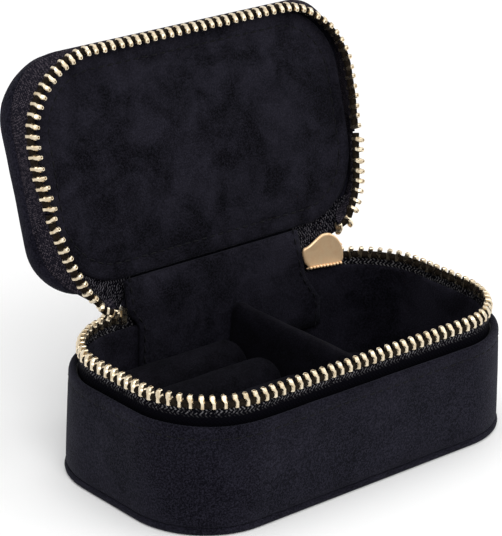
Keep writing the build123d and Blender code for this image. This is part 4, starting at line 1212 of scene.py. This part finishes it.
# Boards and foam: stiff board, dyed black through, cut to shape and glued inside the cloth of
# the walls, floor, divider and lid, and dark foam over the lid's board. None of it shows.
board, board_shader = new_material("black board", {})
board_place = board.node_tree.nodes.new("ShaderNodeTexCoord").outputs["Object"]
board_fibre = node(board.node_tree, "ShaderNodeTexNoise", {"Vector": board_place, "Scale": 1400.0, "Detail": 4.0})
board_colour = node(
    board.node_tree, "ShaderNodeMix",
    {"Factor": board_fibre.outputs[0], "A": (0.004, 0.004, 0.005, 1), "B": (0.011, 0.011, 0.012, 1)}, data_type="RGBA",
)
feed(board_shader, {"Base Color": board_colour.outputs["Result"]})
WALL_BOARD_PROFILE = ((1.0, 2.4), (1.0, 25.6), (1.15, 25.8), (2.1, 25.8), (2.25, 25.6), (2.25, 2.4))
wall_board = skin("wall_board", base_levels(WALL_BOARD_PROFILE), "base", board, join_ends=True)
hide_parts("base_wall_board")
floor_board = skin("floor_board", base_levels(((1.6, 0.86), (1.6, 2.34))), "base", board, caps="both")
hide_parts("base_floor_board")
lining_board_loops = [lining_panel_level(0.5, w) for w in (5.4, 6.65)]
lining_board = skin("lining_board", lining_board_loops, "lid", board, caps="both")
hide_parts("lid_lining_board")
finish_carried(board, "divider_board", "lid_board", "lid_padding")

# Floor, light and camera: a plain pale floor under a white sky that is a little dimmer as light
# than as seen, three large soft lamps, and the photograph's point of view.
floor_paint, floor_shader = new_material("pale floor", {"Base Color": (0.9, 0.9, 0.9, 1), "Roughness": 0.8})
floor_mesh = bpy.data.meshes.new("floor")
floor_mesh.from_pydata([(-6, -6, 0), (6, -6, 0), (6, 6, 0), (-6, 6, 0)], [], [(0, 1, 2, 3)])
floor_mesh.materials.append(floor_paint)
floor = bpy.data.objects.new("floor", floor_mesh)
bpy.context.scene.collection.objects.link(floor)

world = bpy.data.worlds.new("studio")
bpy.context.scene.world = world
world.use_nodes = True
sky_tree = world.node_tree
rays = sky_tree.nodes.new("ShaderNodeLightPath")
seen = node(
    sky_tree, "ShaderNodeMath", {0: rays.outputs["Is Camera Ray"], 1: rays.outputs["Is Glossy Ray"]},
    operation="MAXIMUM",
)
shown = node(sky_tree, "ShaderNodeMapRange", {"Value": seen.outputs[0], "To Min": 0.7, "To Max": 1.0})
feed(sky_tree.nodes["Background"], {"Color": (1, 1, 1, 1), "Strength": shown.outputs[0]})


def aimed(name, data, place, turn):
    """A lamp or camera at its place, turned."""
    made = bpy.data.objects.new(name, data)
    made.location = place
    made.rotation_mode = "QUATERNION"
    made.rotation_quaternion = turn
    bpy.context.scene.collection.objects.link(made)
    return made


LAMP_TARGET = Vector((0, 0, 0.03))
for label, place, size, power in (
    ("key", (-0.5, -0.9, 1.1), 0.9, 9.0),
    ("fill", (0.9, -0.5, 0.7), 0.9, 3.0),
    ("top", (0.1, 0.2, 1.3), 1.0, 5.0),
):
    lamp = bpy.data.lights.new(label, "AREA")
    lamp.size = size
    lamp.energy = power
    aimed(label, lamp, place, (LAMP_TARGET - Vector(place)).to_track_quat("-Z", "Y"))

CAMERA_TARGET = Vector((-0.00049, 0.01386, 0.04180))
CAMERA_AZIMUTH = -0.71682
CAMERA_RISE = 0.38576
CAMERA_DISTANCE = 0.63038
CAMERA_ROLL = 0.02220
towards = Vector((
    math.sin(CAMERA_AZIMUTH) * math.cos(CAMERA_RISE),
    -math.cos(CAMERA_AZIMUTH) * math.cos(CAMERA_RISE),
    math.sin(CAMERA_RISE),
))
lens = bpy.data.cameras.new("camera")
lens.lens = 173.08
lens.sensor_width = 36.0
lens.clip_start = 0.01
camera_turn = (-towards).to_track_quat("-Z", "Y") @ Quaternion((0, 0, 1), CAMERA_ROLL)
bpy.context.scene.camera = aimed("camera", lens, CAMERA_TARGET + towards * CAMERA_DISTANCE, camera_turn)
bpy.context.scene.view_settings.view_transform = "Standard"
